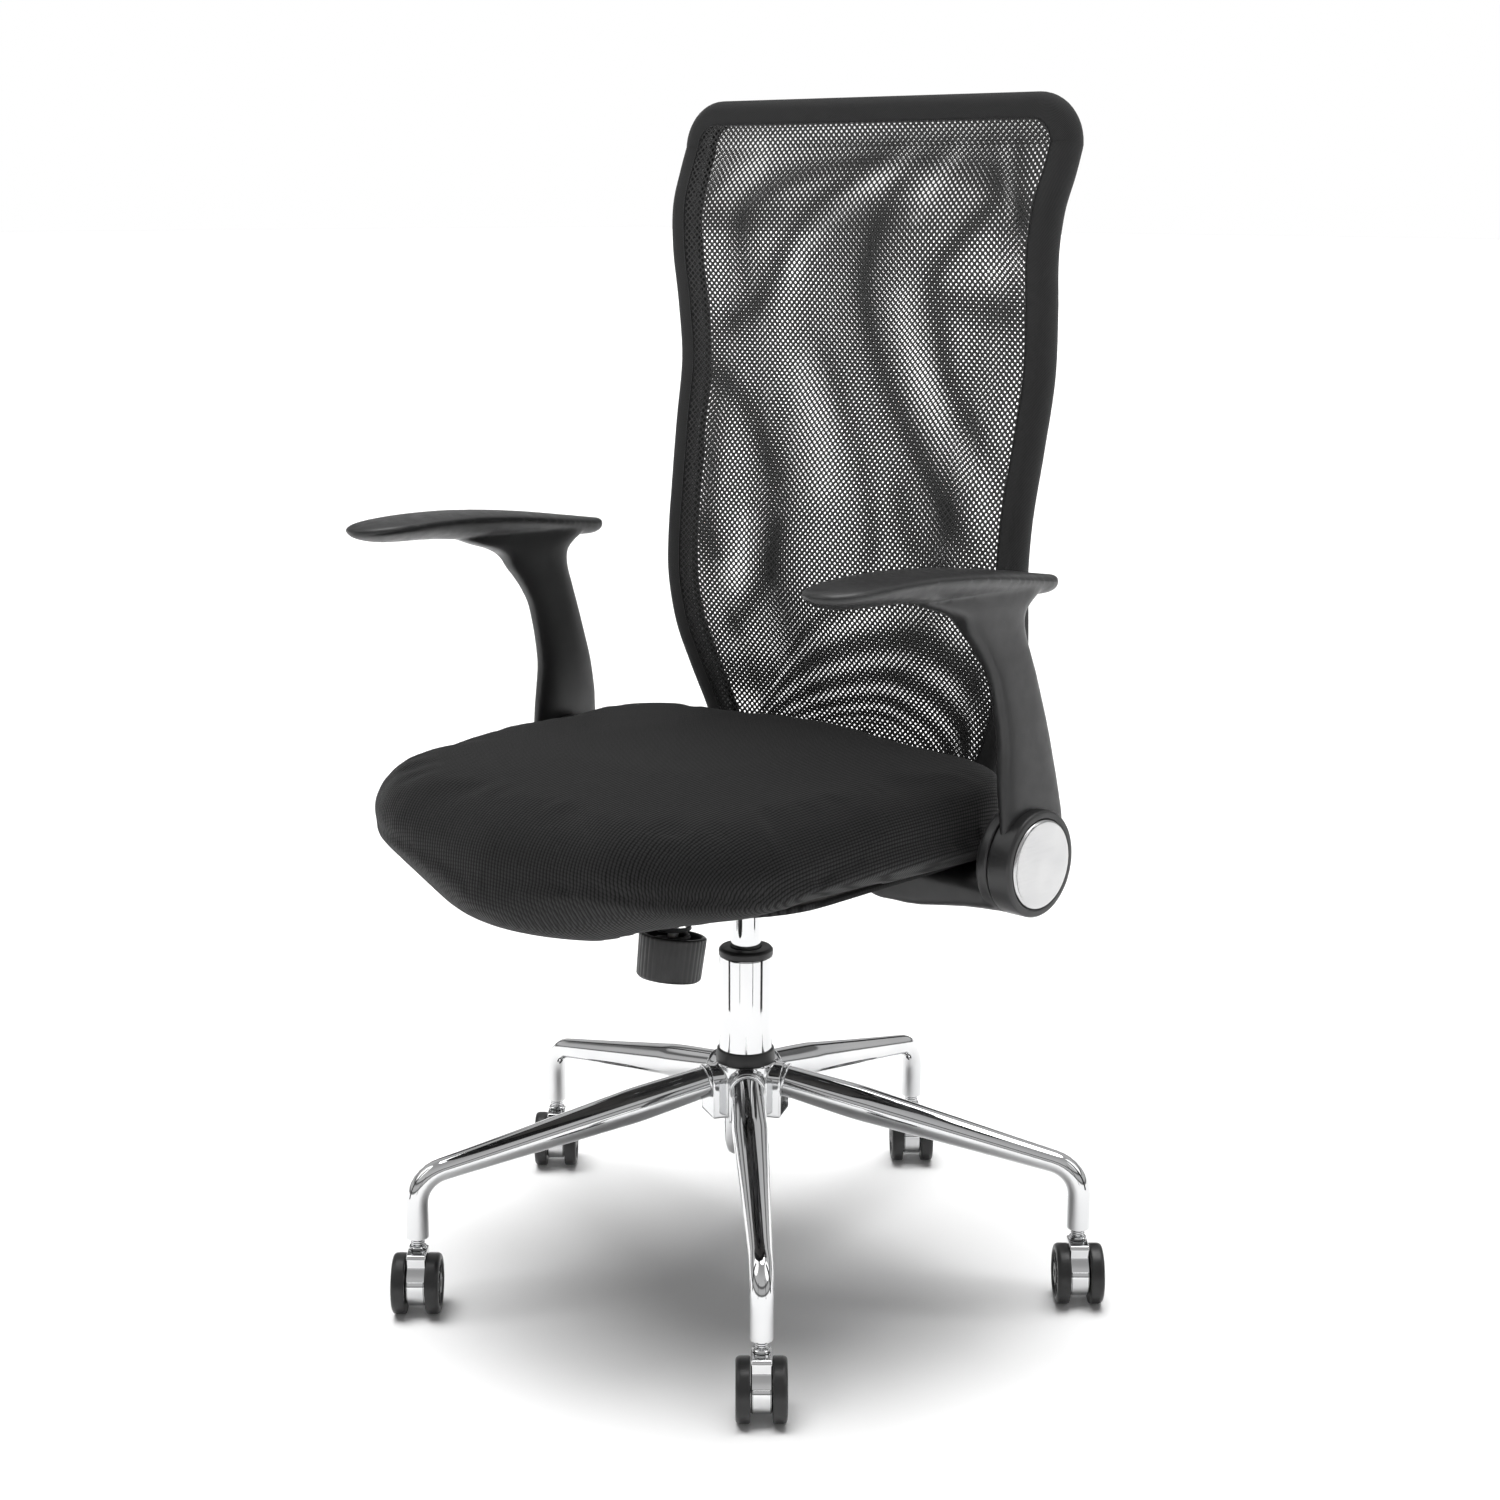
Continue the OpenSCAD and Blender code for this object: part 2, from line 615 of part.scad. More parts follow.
// Side outline of the post in Y and Z, from the barrel up into the pad
module post_outline() {
    polygon([[3, 440], [3, 505], [5, 530], [4, 550], [2, 560], [-2, 580], [-8, 600], [-15, 612], [-28, 630],
        [-43, 648], [-51, 655], [-64, 661], [-84, 667], [-104, 673], [-60, 690], [30, 680], [60, 672],
        [45, 661], [37, 655], [35, 648], [37, 634], [43, 620], [51, 600], [58, 580], [65, 560], [71, 540],
        [80, 505], [85.5, 470], [86.5, 440]]);
}

// Side outline of the pad in Y and Z
module pad_outline() {
    polygon([[-228, 692], [-216, 683], [-196, 679], [-166, 678], [-130, 676], [-100, 671], [-60, 669],
        [0, 666], [50, 664], [70, 664], [79, 666], [84, 671], [82, 677], [70, 680], [33, 686], [-9, 691.5],
        [-60, 696], [-110, 700.5],
        [-158, 701], [-191, 699], [-218, 696]]);
}

// The pad from above, about its own centre line
module pad_plan() {
    translate([0, -201]) circle(27);
    translate([0, 71]) circle(9);
    polygon([[-27, -201], [27, -201], [31, -130], [28, -50], [20, 20], [9, 71],
        [-9, 71], [-20, 20], [-28, -50], [-31, -130]]);
}

module arm() {
    difference() {
        union() {
            translate([ear_x[1] + gap, arm_y, arm_z]) rotate([0, 90, 0])
                cylinder(h = arm_x - 1 - ear_x[1] - gap, r = barrel_r);
            // post, set back at the bottom so that it clears the bracket's ear
            difference() {
                along_x(post_x[0], post_x[1]) post_outline();
                translate([240, arm_y, arm_z]) rotate([0, 90, 0])
                    cylinder(h = ear_x[1] + gap - 240, r = barrel_r + 1);
            }
            intersection() {
                along_x(pad_x - 40, pad_x + 40) pad_outline();
                translate([pad_x, 0, 640]) linear_extrude(80) pad_plan();
            }
        }
        translate([240, arm_y, arm_z]) rotate([0, 90, 0]) cylinder(h = 80, r = bush_r);
        // room for the detent spring, closed by the chrome cap
        translate([292, arm_y, arm_z]) rotate([0, 90, 0]) cylinder(h = 30, r = 12);
        translate([arm_x - 4, arm_y, arm_z]) rotate([0, 90, 0]) cylinder(h = 10, r = 39);
    }
}

module arm_bush() {
    translate([ear_x[1] + gap, arm_y, arm_z]) rotate([0, 90, 0]) difference() {
        cylinder(h = 291.8 - ear_x[1] - gap, r = bush_r);
        translate([0, 0, -1]) cylinder(h = 60, r = pivot_r + fit);
    }
}

module arm_cap() {
    translate([arm_x - 4, arm_y, arm_z]) rotate([0, 90, 0]) {
        cylinder(h = 4.2, r = 38.9);
        translate([0, 0, 4.2]) cylinder(h = 1, r1 = 38.9, r2 = 37.4);
    }
}

// ---- castors -------------------------------------------------------------------
plate_w = 18;            // width of the chrome body between the wheels
wheel_w = 12.2;
axle_r = 3;

module castor_body(k) {
    color("silver") at_castor(k) difference() {
        union() {
            intersection() {
                along_x(-plate_w / 2, plate_w / 2) {
                    translate([-castor_trail, wheel_r]) circle(19.5);
                    translate([-castor_trail - 9, wheel_r]) square([castor_trail + 18, 57 - wheel_r]);
                }
                translate([0, 0, 57 - 60]) cylinder(h = 60, r = 40);
            }
        }
        translate([0, 0, 33]) cylinder(h = 40, r = 4 + fit);
        translate([-20, -castor_trail, wheel_r]) rotate([0, 90, 0]) cylinder(h = 40, r = axle_r + fit);
    }
}

module castor_wheels(k) {
    inner = plate_w / 2 + gap;
    color("#242424") at_castor(k) for (s = [-1, 1])
        translate([0, -castor_trail, wheel_r]) rotate([0, 90 * s, 0]) rotate_extrude()
            polygon(concat([[axle_r, inner], [wheel_r - 2.5, inner]],
                [for (a = [-90:30:0]) [wheel_r - 2.5 + 2.5 * cos(a), inner + 2.5 + 2.5 * sin(a)]],
                [for (a = [0:22.5:90]) [wheel_r - 4 + 4 * cos(a), inner + wheel_w - 4 + 4 * sin(a)]],
                [[20, inner + wheel_w], [18.5, inner + wheel_w - 2], [axle_r, inner + wheel_w - 1.2]]));
}

module castor_axle(k) {
    color("gray") at_castor(k) translate([-plate_w / 2 - 9, -castor_trail, wheel_r]) rotate([0, 90, 0])
        cylinder(h = plate_w + 18, r = axle_r);
}

// ---- drawing ---------------------------------------------------------------------
base_hub();
for (k = [0:4]) leg(k);
castor_stems();
column_tube();
column_collar();
column_bush();
thrust_bearing();
piston_rod();
rod_clip();
gas_cylinder();
release_pin();
tilt_housing();
taper_socket();
pivot_pin();
lever_rod();
lever_pin();
lever_grip();
seat_plate();
hook_pin();
seat_board();
seat_cushion();
seat_bolts();
back_frame();
back_mesh();
frame_clamps();
clamp_bolts();
color("#1a1a1a") arm_bracket();  // arm_bracket_left
color("#1a1a1a") mirror([1, 0, 0]) arm_bracket();  // arm_bracket_right
arm_bolts();
color("gray") arm_pivot();  // arm_pivot_left
color("gray") mirror([1, 0, 0]) arm_pivot();  // arm_pivot_right
color("#1f1f1f") arm();  // arm_left
color("#1f1f1f") mirror([1, 0, 0]) arm();  // arm_right
color("#e8e4d8") arm_bush();  // arm_bush_left
color("#e8e4d8") mirror([1, 0, 0]) arm_bush();  // arm_bush_right
color("silver") arm_cap();  // arm_cap_left
color("silver") mirror([1, 0, 0]) arm_cap();  // arm_cap_right
tension_bolt();
tension_spring();
spring_seat();
tension_knob();
for (k = [0:4]) castor_body(k);
for (k = [0:4]) castor_wheels(k);
for (k = [0:4]) castor_axle(k);
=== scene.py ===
from math import atan, cos, hypot, pi, radians, sin, sqrt, tan

import bmesh
import bpy
import numpy as np
from mathutils import Matrix, Vector


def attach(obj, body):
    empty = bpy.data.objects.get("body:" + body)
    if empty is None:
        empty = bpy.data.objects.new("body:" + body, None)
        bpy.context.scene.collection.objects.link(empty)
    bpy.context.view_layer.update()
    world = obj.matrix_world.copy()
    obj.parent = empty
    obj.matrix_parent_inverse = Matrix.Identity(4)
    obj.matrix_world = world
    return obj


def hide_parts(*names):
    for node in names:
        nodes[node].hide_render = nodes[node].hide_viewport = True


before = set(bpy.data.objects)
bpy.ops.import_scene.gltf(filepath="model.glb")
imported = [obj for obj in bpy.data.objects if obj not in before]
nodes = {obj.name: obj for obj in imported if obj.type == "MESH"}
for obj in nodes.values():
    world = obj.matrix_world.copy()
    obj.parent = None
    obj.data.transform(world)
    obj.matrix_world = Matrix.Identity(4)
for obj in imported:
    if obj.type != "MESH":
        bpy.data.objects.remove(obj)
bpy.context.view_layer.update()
scene = bpy.context.scene
MM = 0.001
SIDES = (("left", 1), ("right", -1))


# ---- camera ------------------------------------------------------------------
def look(azimuth, pitch, roll):
    return (
        Matrix.Rotation(radians(azimuth), 4, "Z")
        @ Matrix.Rotation(radians(90 - pitch), 4, "X")
        @ Matrix.Rotation(radians(roll), 4, "Z")
    )


camera = bpy.data.objects.new("camera", bpy.data.cameras.new("camera"))
scene.collection.objects.link(camera)
camera.matrix_world = Matrix.Translation((1.5116, -1.6411, 0.9882)) @ look(42.65, 12.36, 0.21)
camera.data.sensor_width = 36
camera.data.lens = 60.03
camera.data.shift_x = 0.0023
camera.data.shift_y = -0.002
camera.data.clip_end = 200
scene.camera = camera


# ---- materials ---------------------------------------------------------------
class Value:
    """A number in a node tree, so that a pattern can be written as a formula."""

    def __init__(self, tree, socket):
        self.tree, self.socket = tree, socket

    def __add__(self, other):
        return self.tree.math("ADD", self, other)

    def __sub__(self, other):
        return self.tree.math("SUBTRACT", self, other)

    def __rsub__(self, other):
        return self.tree.math("SUBTRACT", other, self)

    def __mul__(self, other):
        return self.tree.math("MULTIPLY", self, other)

    def __truediv__(self, other):
        return self.tree.math("DIVIDE", self, other)

    __radd__, __rmul__ = __add__, __mul__


class Tree:
    """A material with a Principled shader, and short calls for the nodes that feed it."""

    def __init__(self, name, color, metallic=0.0, roughness=0.5, **inputs):
        self.material = bpy.data.materials.new(name)
        self.material.use_nodes = True
        self.nodes = self.material.node_tree.nodes
        self.links = self.material.node_tree.links
        self.nodes.clear()
        out = self.nodes.new("ShaderNodeOutputMaterial")
        self.shader = self.nodes.new("ShaderNodeBsdfPrincipled")
        self.links.new(self.shader.outputs[0], out.inputs[0])
        for key, value in {
            "Base Color": (*color, 1),
            "Metallic": metallic,
            "Roughness": roughness,
            **inputs,
        }.items():
            self.shader.inputs[key].default_value = value
        self.place = None

    def put(self, node, index, value):
        if isinstance(value, Value):
            self.links.new(value.socket, node.inputs[index])
        elif value is not None:
            node.inputs[index].default_value = value

    def math(self, operation, a, b=None, c=None):
        node = self.nodes.new("ShaderNodeMath")
        node.operation = operation
        for index, value in enumerate((a, b, c)):
            self.put(node, index, value)
        return Value(self, node.outputs[0])

    def sin(self, a):
        return self.math("SINE", a)

    def abs(self, a):
        return self.math("ABSOLUTE", a)

    def step(self, a, low, high, out_low=0.0, out_high=1.0):
        """Smooth step from low to high."""
        node = self.nodes.new("ShaderNodeMapRange")
        node.interpolation_type = "SMOOTHSTEP"
        for index, value in enumerate((a, low, high, out_low, out_high)):
            self.put(node, index, value)
        return Value(self, node.outputs[0])

    def xyz(self, attribute=None, object_space=True):
        """The point's coordinates in millimetres, or a stored attribute's three numbers."""
        if attribute:
            source = self.nodes.new("ShaderNodeAttribute")
            source.attribute_name = attribute
            socket, scale = source.outputs["Vector"], 1
        else:
            source = self.nodes.new("ShaderNodeTexCoord")
            socket, scale = source.outputs["Object"], 1000
        split = self.nodes.new("ShaderNodeSeparateXYZ")
        self.links.new(socket, split.inputs[0])
        values = [Value(self, split.outputs[i]) for i in range(3)]
        return values if scale == 1 else [v * scale for v in values]

    def number(self, attribute):
        source = self.nodes.new("ShaderNodeAttribute")
        source.attribute_name = attribute
        return Value(self, source.outputs["Fac"])

    def noise(self, scale, detail=3.0, stretch=(1, 1, 1), roughness=0.5, distortion=0.0):
        source = self.nodes.new("ShaderNodeTexCoord")
        mapping = self.nodes.new("ShaderNodeMapping")
        mapping.inputs["Scale"].default_value = stretch
        self.links.new(source.outputs["Object"], mapping.inputs[0])
        node = self.nodes.new("ShaderNodeTexNoise")
        self.links.new(mapping.outputs[0], node.inputs["Vector"])
        for key, value in {
            "Scale": scale,
            "Detail": detail,
            "Roughness": roughness,
            "Distortion": distortion,
        }.items():
            node.inputs[key].default_value = value
        return Value(self, node.outputs[0])

    def mix(self, factor, a, b):
        """Colour between a and b."""
        node = self.nodes.new("ShaderNodeMix")
        node.data_type = "RGBA"
        self.put(node, 0, factor)
        for index, value in ((6, a), (7, b)):
            self.put(node, index, value if isinstance(value, Value) else (*value, 1))
        return Value(self, node.outputs[2])

    def set(self, key, value):
        self.links.new(value.socket, self.shader.inputs[key])

    def bump(self, height, strength, distance):
        node = self.nodes.new("ShaderNodeBump")
        node.inputs["Strength"].default_value = strength
        node.inputs["Distance"].default_value = distance * MM
        self.put(node, "Height", height)
        self.links.new(node.outputs[0], self.shader.inputs["Normal"])


def chrome():
    t = Tree("polished chrome", (0.65, 0.655, 0.66), 1.0, 0.05)
    t.set("Roughness", t.step(t.noise(35, 4), 0.3, 0.8, 0.035, 0.09))
    t.set("Base Color", t.mix(t.step(t.noise(9, 2), 0.35, 0.7), (0.62, 0.625, 0.632), (0.68, 0.68, 0.682)))
    t.bump(t.noise(160, 2), 0.06, 0.15)
    return t.material


def satin():
    t = Tree("satin chrome", (0.66, 0.66, 0.665), 1.0, 0.24)
    lines = t.noise(1.0, 3, (30, 30, 900))
    t.set("Roughness", t.step(lines, 0.3, 0.7, 0.2, 0.27))
    t.set("Base Color", t.mix(t.step(t.noise(30, 2), 0.3, 0.7), (0.5, 0.5, 0.505), (0.55, 0.55, 0.55)))
    t.bump(lines, 0.03, 0.02)
    return t.material


def zinc():
    t = Tree("zinc-plated steel", (0.55, 0.56, 0.57), 1.0, 0.35)
    cloud = t.noise(220, 5, roughness=0.65)
    t.set("Base Color", t.mix(t.step(cloud, 0.35, 0.7), (0.42, 0.43, 0.45), (0.62, 0.62, 0.6)))
    t.set("Roughness", t.step(t.noise(700, 2), 0.2, 0.8, 0.25, 0.45))
    t.bump(t.noise(900, 2), 0.15, 0.1)
    return t.material


def powder_coat():
    t = Tree("black powder coat", (0.02, 0.02, 0.021), 0.0, 0.5)
    t.set("Base Color", t.mix(t.step(t.noise(60, 4), 0.3, 0.7), (0.014, 0.014, 0.015),
                              (0.026, 0.026, 0.027)))
    t.bump(t.noise(1100, 3), 0.35, 0.25)
    return t.material


def moulded(name, dark, light, rough, grain, depth):
    """Injection-moulded plastic with a fine spark-eroded grain and slight clouding."""
    t = Tree(name, dark, 0.0, rough[0], **{"IOR": 1.48})
    t.set("Base Color", t.mix(t.step(t.noise(14, 4), 0.3, 0.75), dark, light))
    t.set("Roughness", t.step(t.noise(90, 3), 0.3, 0.7, *rough))
    t.bump(t.noise(grain, 2, roughness=0.6), 0.4, depth)
    return t.material


def acetal():
    t = Tree("acetal", (0.75, 0.73, 0.68), 0.0, 0.4)
    t.set("Base Color", t.mix(t.step(t.noise(80, 4), 0.3, 0.7), (0.7, 0.68, 0.62), (0.8, 0.78, 0.73)))
    t.bump(t.noise(800, 2), 0.1, 0.1)
    return t.material


def plywood():
    t = Tree("black-stained plywood", (0.02, 0.018, 0.016), 0.0, 0.6)
    x, y, z = t.xyz()
    grain = t.noise(9, 8, (1, 14, 14), 0.6, 0.6)
    veneer = t.mix(t.step(grain, 0.35, 0.7), (0.012, 0.011, 0.01), (0.03, 0.027, 0.025))
    plies = t.step(t.sin(z * (pi / 1.7)), -0.3, 0.3)
    t.set("Base Color", t.mix(plies * 0.25, veneer, (0.045, 0.038, 0.032)))
    t.bump(grain, 0.3, 0.3)
    return t.material


def seat_fabric():
    """Spacer mesh: rows of small raised loops in a square grid, with faint ribs along the seat. The loops
    carry a painted highlight and the pits between them a painted shade.
    """
    t = Tree("seat spacer mesh", (0.012, 0.012, 0.012), 0.0, 0.8,
             **{"Sheen Weight": 0.08, "Sheen Roughness": 0.5, "Specular IOR Level": 0.2})
    u, w, k = t.xyz("weave")
    across = t.abs(t.sin(u * (pi / 3.5)))
    along = t.abs(t.sin(w * (pi / 3.4)))
    loops = across * (along * 0.55 + 0.45)
    fibre = t.noise(1500, 2)
    cloud = t.noise(7, 3)
    height = loops + fibre * 0.25
    # painted highlight and shade: the raised loops are coloured lighter and the pits between them darker,
    # in place of light on the loops and shade in the pits
    loop_highlight_pit_shade = t.mix(t.step(loops, 0.1, 0.75), (0.0015, 0.0015, 0.0015), (0.015, 0.015, 0.0153))
    t.set("Base Color", t.mix(t.step(cloud, 0.3, 0.75, 0, 0.3), loop_highlight_pit_shade, (0.012, 0.012, 0.012)))
    t.set("Roughness", t.step(loops, 0.1, 0.8, 0.95, 0.7))
    t.bump(height, 0.55, 0.7)
    return t.material


def border_fabric():
    """Close diagonal twill of the sleeve round the frame."""
    t = Tree("back border twill", (0.02, 0.02, 0.02), 0.0, 0.75,
             **{"Sheen Weight": 0.08, "Specular IOR Level": 0.25})
    s, a, k = t.xyz("weave")
    twill = t.sin((s + a * 1.6) * (2 * pi / 2.3)) * 0.5 + 0.5
    thread = t.abs(t.sin((s - a) * (pi / 1.1)))
    weave = twill * 0.7 + thread * 0.3
    t.set("Base Color", t.mix(weave, (0.007, 0.007, 0.0073), (0.036, 0.036, 0.0365)))
    t.bump(weave, 0.5, 0.5)
    return t.material


def mesh_fabric(name, shift, banded=True):
    """Open knitted mesh: dark yarn round staggered holes. The two layers of the back show
    through each other, and the uneven stretch opens and closes the holes in flowing bands."""
    t = Tree(name, (0.03, 0.03, 0.03), 0.0, 0.7, **{"Sheen Weight": 0.1, "Specular IOR Level": 0.3})
    x, y, z = t.xyz()
    stretch = t.number("stretch") + t.noise(9, 2) * 0.2 - 0.1
    across, up = (x + shift) / 6.3, z / 6.1
    lattice = t.abs(t.sin((across + up) * pi) * t.sin((across - up) * pi))
    limit = stretch * -0.48 + 0.94 if banded else stretch * 0 + 0.16
    yarn = t.step(lattice - limit, -0.05, 0.05, 1.0, 0.0)
    t.set("Alpha", yarn)
    t.set("Base Color", t.mix(t.step(lattice, 0.0, 0.5), (0.04, 0.04, 0.04), (0.01, 0.01, 0.01)))
    t.bump(t.step(lattice, 0.0, 0.6, 1.0, 0.0), 0.6, 0.5)
    return t.material


def floor_material():
    t = Tree("pale floor", (0.93, 0.93, 0.93), 0.0, 0.9,
             **{"Emission Color": (1, 1, 1, 1), "Emission Strength": 0.03,
                                                             "Specular IOR Level": 0.1})
    t.set("Base Color", t.mix(t.noise(3, 2), (0.925, 0.925, 0.925), (0.945, 0.945, 0.945)))
    return t.material


CHROME, SATIN, ZINC, COAT = chrome(), satin(), zinc(), powder_coat()
ARM = moulded("arm nylon", (0.016, 0.016, 0.0165), (0.023, 0.023, 0.0235), (0.34, 0.44), 1300, 0.14)
BLACK = moulded("black plastic", (0.007, 0.007, 0.0073), (0.011, 0.011, 0.0113), (0.36, 0.46), 900, 0.15)
TREAD = moulded("castor nylon", (0.012, 0.012, 0.0123), (0.02, 0.02, 0.0203), (0.3, 0.4), 700, 0.18)
ACETAL, PLY, SEAT, TWILL = acetal(), plywood(), seat_fabric(), border_fabric()
MESH_FRONT, MESH_REAR = mesh_fabric("back mesh, front", 0.0), mesh_fabric("back mesh, rear", 1.4, False)


# ---- mesh helpers ------------------------------------------------------------
def piece(name, parts, material, body, replaces=(), place=None, sharp=32, levels=0, bevel=0.0):
    """One object from [(points in mm, faces), ...], riding on a body."""
    points, faces = [], []
    for p, f in parts:
        n = len(points)
        points += [tuple(c) for c in p]
        faces += [[n + i for i in face] for face in f]
    mesh = bpy.data.meshes.new(name)
    mesh.from_pydata([Vector(p) * MM for p in points], [], faces)
    if place is not None:
        mesh.transform(place)
    b = bmesh.new()
    b.from_mesh(mesh)
    bmesh.ops.recalc_face_normals(b, faces=b.faces)
    b.to_mesh(mesh)
    b.free()
    return finish_piece(name, mesh, material, body, replaces, sharp, levels, bevel)


def finish_piece(name, mesh, material, body, replaces=(), sharp=32, levels=0, bevel=0.0):
    o = bpy.data.objects.new(name, mesh)
    scene.collection.objects.link(o)
    mesh.materials.clear()
    mesh.materials.append(material)
    mesh.polygons.foreach_set("use_smooth", [True] * len(mesh.polygons))
    if sharp < 180:
        mesh.set_sharp_from_angle(angle=radians(sharp))
    if bevel:
        m = o.modifiers.new("bevel", "BEVEL")
        m.width, m.segments, m.limit_method, m.angle_limit = bevel * MM, 2, "ANGLE", radians(40)
        m.harden_normals = True
    if levels:
        m = o.modifiers.new("subdivision", "SUBSURF")
        m.levels = m.render_levels = levels
    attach(o, body)
    if replaces:
        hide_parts(*replaces)
    return o


def applied(o):
    """The mesh with the object's modifiers in it, as a new mesh."""
    deps = bpy.context.evaluated_depsgraph_get()
    return bpy.data.meshes.new_from_object(o.evaluated_get(deps), depsgraph=deps)


def rounded(points, r, steps=4):
    """A polyline with its inner corners rounded to about radius r."""
    out = [points[0]]
    for a, b, c in zip(points, points[1:], points[2:]):
        a, b, c = Vector(a), Vector(b), Vector(c)
        u, v = a - b, c - b
        cut = min(r, u.length * 0.48, v.length * 0.48)
        p, q = b + u.normalized() * cut, b + v.normalized() * cut
        for i in range(steps + 1):
            t = i / steps
            out.append(tuple(p * (1 - t) ** 2 + b * 2 * t * (1 - t) + q * t * t))
    return out + [points[-1]]


def lathe(profile, n=64, wave=None):
    """Points (r, z) turned about Z. wave(angle, r, z) may change the radius."""
    points, faces = [], []
    for r, z in profile:
        for j in range(n):
            a = 2 * pi * j / n
            q = max(r, 0.001)
            if wave:
                q = wave(a, q, z)
            points.append((q * cos(a), q * sin(a), z))
    m = len(profile)
    for i in range(m - 1):
        for j in range(n):
            k = (j + 1) % n
            faces.append((i * n + j, i * n + k, (i + 1) * n + k, (i + 1) * n + j))
    faces.append(list(range(n))[::-1])
    faces.append([(m - 1) * n + j for j in range(n)])
    return points, faces


def rings_to_mesh(rings, caps=True, closed=False):
    n, m = len(rings[0]), len(rings)
    points = [p for ring in rings for p in ring]
    faces = []
    for i in range(m if closed else m - 1):
        h = (i + 1) % m
        for j in range(n):
            k = (j + 1) % n
            faces.append((i * n + j, i * n + k, h * n + k, h * n + j))
    if caps and not closed:
        faces.append(list(range(n))[::-1])
        faces.append([(m - 1) * n + j for j in range(n)])
    return points, faces


def frames_along(path, up=(0, 0, 1)):
    """Point, tangent and two directions square to it, carried along the path without twist."""
    path = [Vector(p) for p in path]
    out, u = [], Vector(up)
    for i, p in enumerate(path):
        t = (path[min(i + 1, len(path) - 1)] - path[max(i - 1, 0)]).normalized()
        u = (u - t * u.dot(t)).normalized()
        out.append((p, t, u, t.cross(u)))
    return out


def sweep(path, radius, n=32, up=(0, 0, 1), caps=True, closed=False):
    rings = []
    for i, (p, t, u, v) in enumerate(frames_along(path, up)):
        r = radius(i) if callable(radius) else radius
        rings.append([p + u * (r * cos(2 * pi * j / n)) + v * (r * sin(2 * pi * j / n)) for j in range(n)])
    return rings_to_mesh(rings, caps, closed)


def spline(points, steps=8):
    """Catmull-Rom curve through points of any dimension."""
    P = [np.array(p, float) for p in points]
    out = []
    for i in range(len(P) - 1):
        a, b, c, d = P[max(i - 1, 0)], P[i], P[i + 1], P[min(i + 2, len(P) - 1)]
        for s in range(steps):
            t = s / steps
            out.append(0.5 * (2 * b + (c - a) * t + (2 * a - 5 * b + 4 * c - d) * t * t
                              + (3 * b - a - 3 * c + d) * t ** 3))
    return out + [P[-1]]


def moved(part, matrix):
    return [matrix @ Vector(p) for p in part[0]], part[1]


def prism(outline, x0, x1):
    """An outline of (y, z) points extruded along X."""
    n = len(outline)
    points = [(x0, y, z) for y, z in outline] + [(x1, y, z) for y, z in outline]
    faces = [list(range(n))[::-1], [n + i for i in range(n)]]
    faces += [(i, (i + 1) % n, n + (i + 1) % n, n + i) for i in range(n)]
    return points, faces


def torus(major, minor, n=48, m=10):
    ring = [(major + minor * cos(2 * pi * j / m), minor * sin(2 * pi * j / m)) for j in range(m)]
    rings = [[(r * cos(2 * pi * i / n), r * sin(2 * pi * i / n), z) for r, z in ring] for i in range(n)]
    return rings_to_mesh(rings, caps=False, closed=True)


def merge(parts, voxel, smooth, factor=0.5):
    """Parts run together into one closed skin with soft inside corners, as in a moulding or casting."""
    points, faces = [], []
    for p, f in parts:
        n = len(points)
        points += [Vector(c) * MM for c in p]
        faces += [[n + i for i in face] for face in f]
    mesh = bpy.data.meshes.new("merge")
    mesh.from_pydata(points, [], faces)
    b = bmesh.new()
    b.from_mesh(mesh)
    bmesh.ops.recalc_face_normals(b, faces=b.faces)
    b.to_mesh(mesh)
    b.free()
    o = bpy.data.objects.new("merge", mesh)
    scene.collection.objects.link(o)
    m = o.modifiers.new("remesh", "REMESH")
    m.mode, m.voxel_size = "VOXEL", voxel * MM
    m = o.modifiers.new("smooth", "SMOOTH")
    m.factor, m.iterations = factor, smooth
    result = applied(o)
    bpy.data.objects.remove(o)
    return result


def at(x, y, z, axis="Z", degrees=0.0):
    return Matrix.Translation((x, y, z)) @ Matrix.Rotation(radians(degrees), 4, axis)


def dress(material, *names):
    """A better material on CAD nodes that stay."""
    for name in names:
        mesh = nodes[name].data
        mesh.materials.clear()
        mesh.materials.append(material)


def softened(name, node, material, body, bevel=0.6, sharp=35):
    """A CAD node's own shape with its edges rounded."""
    mesh = nodes[node].data.copy()
    b = bmesh.new()
    b.from_mesh(mesh)
    bmesh.ops.remove_doubles(b, verts=b.verts, dist=2e-6)
    bmesh.ops.dissolve_limit(b, angle_limit=radians(1.5), verts=b.verts, edges=b.edges)
    b.to_mesh(mesh)
    b.free()
    return finish_piece(name, mesh, material, body, (node,), sharp, 0, bevel)


# ---- base: column, hub and legs ------------------------------------------------
HUB_LOW, HUB_TOP, LEG_Z, SOCKET = 148, 200, 182.5, 38
LEG_HEADING, REACH = 45.2, 316.7


def heading(k):
    """Turns a leg drawn along +X to its place."""
    return Matrix.Rotation(radians(LEG_HEADING + 72 * k - 90), 4, "Z")


# centre line (x, z) and radius of a leg, from inside its socket to the foot
slope = atan((LEG_Z - 131) / (REACH - 30 - SOCKET))
leg_path = []
for x, r in ((30, 14.2), (38, 14.4), (60, 15.1), (84, 15.9), (104, 16.35), (114, 16.3), (126, 15.9),
             (160, 14.7),
             (200, 13.2), (240, 11.9), (266, 11.1), (284, 10.6)):
    leg_path.append((x, 0, LEG_Z - (x - SOCKET) * tan(slope), r))
turn_r = 30
centre_z = leg_path[-1][2] - turn_r * cos(slope) - (REACH - turn_r + turn_r * sin(slope) - 284) * tan(slope)
for a in np.linspace(90 - np.degrees(slope), 0, 9):
    leg_path.append((REACH - turn_r + turn_r * cos(radians(a)), 0, centre_z + turn_r * sin(radians(a)),
                     10.35))
for z in (90, 74, 69):
    leg_path.append((REACH, 0, z, 10.3))
smooth_leg = spline(leg_path[:12], 4)[:-1] + [np.array(p, float) for p in leg_path[12:]]

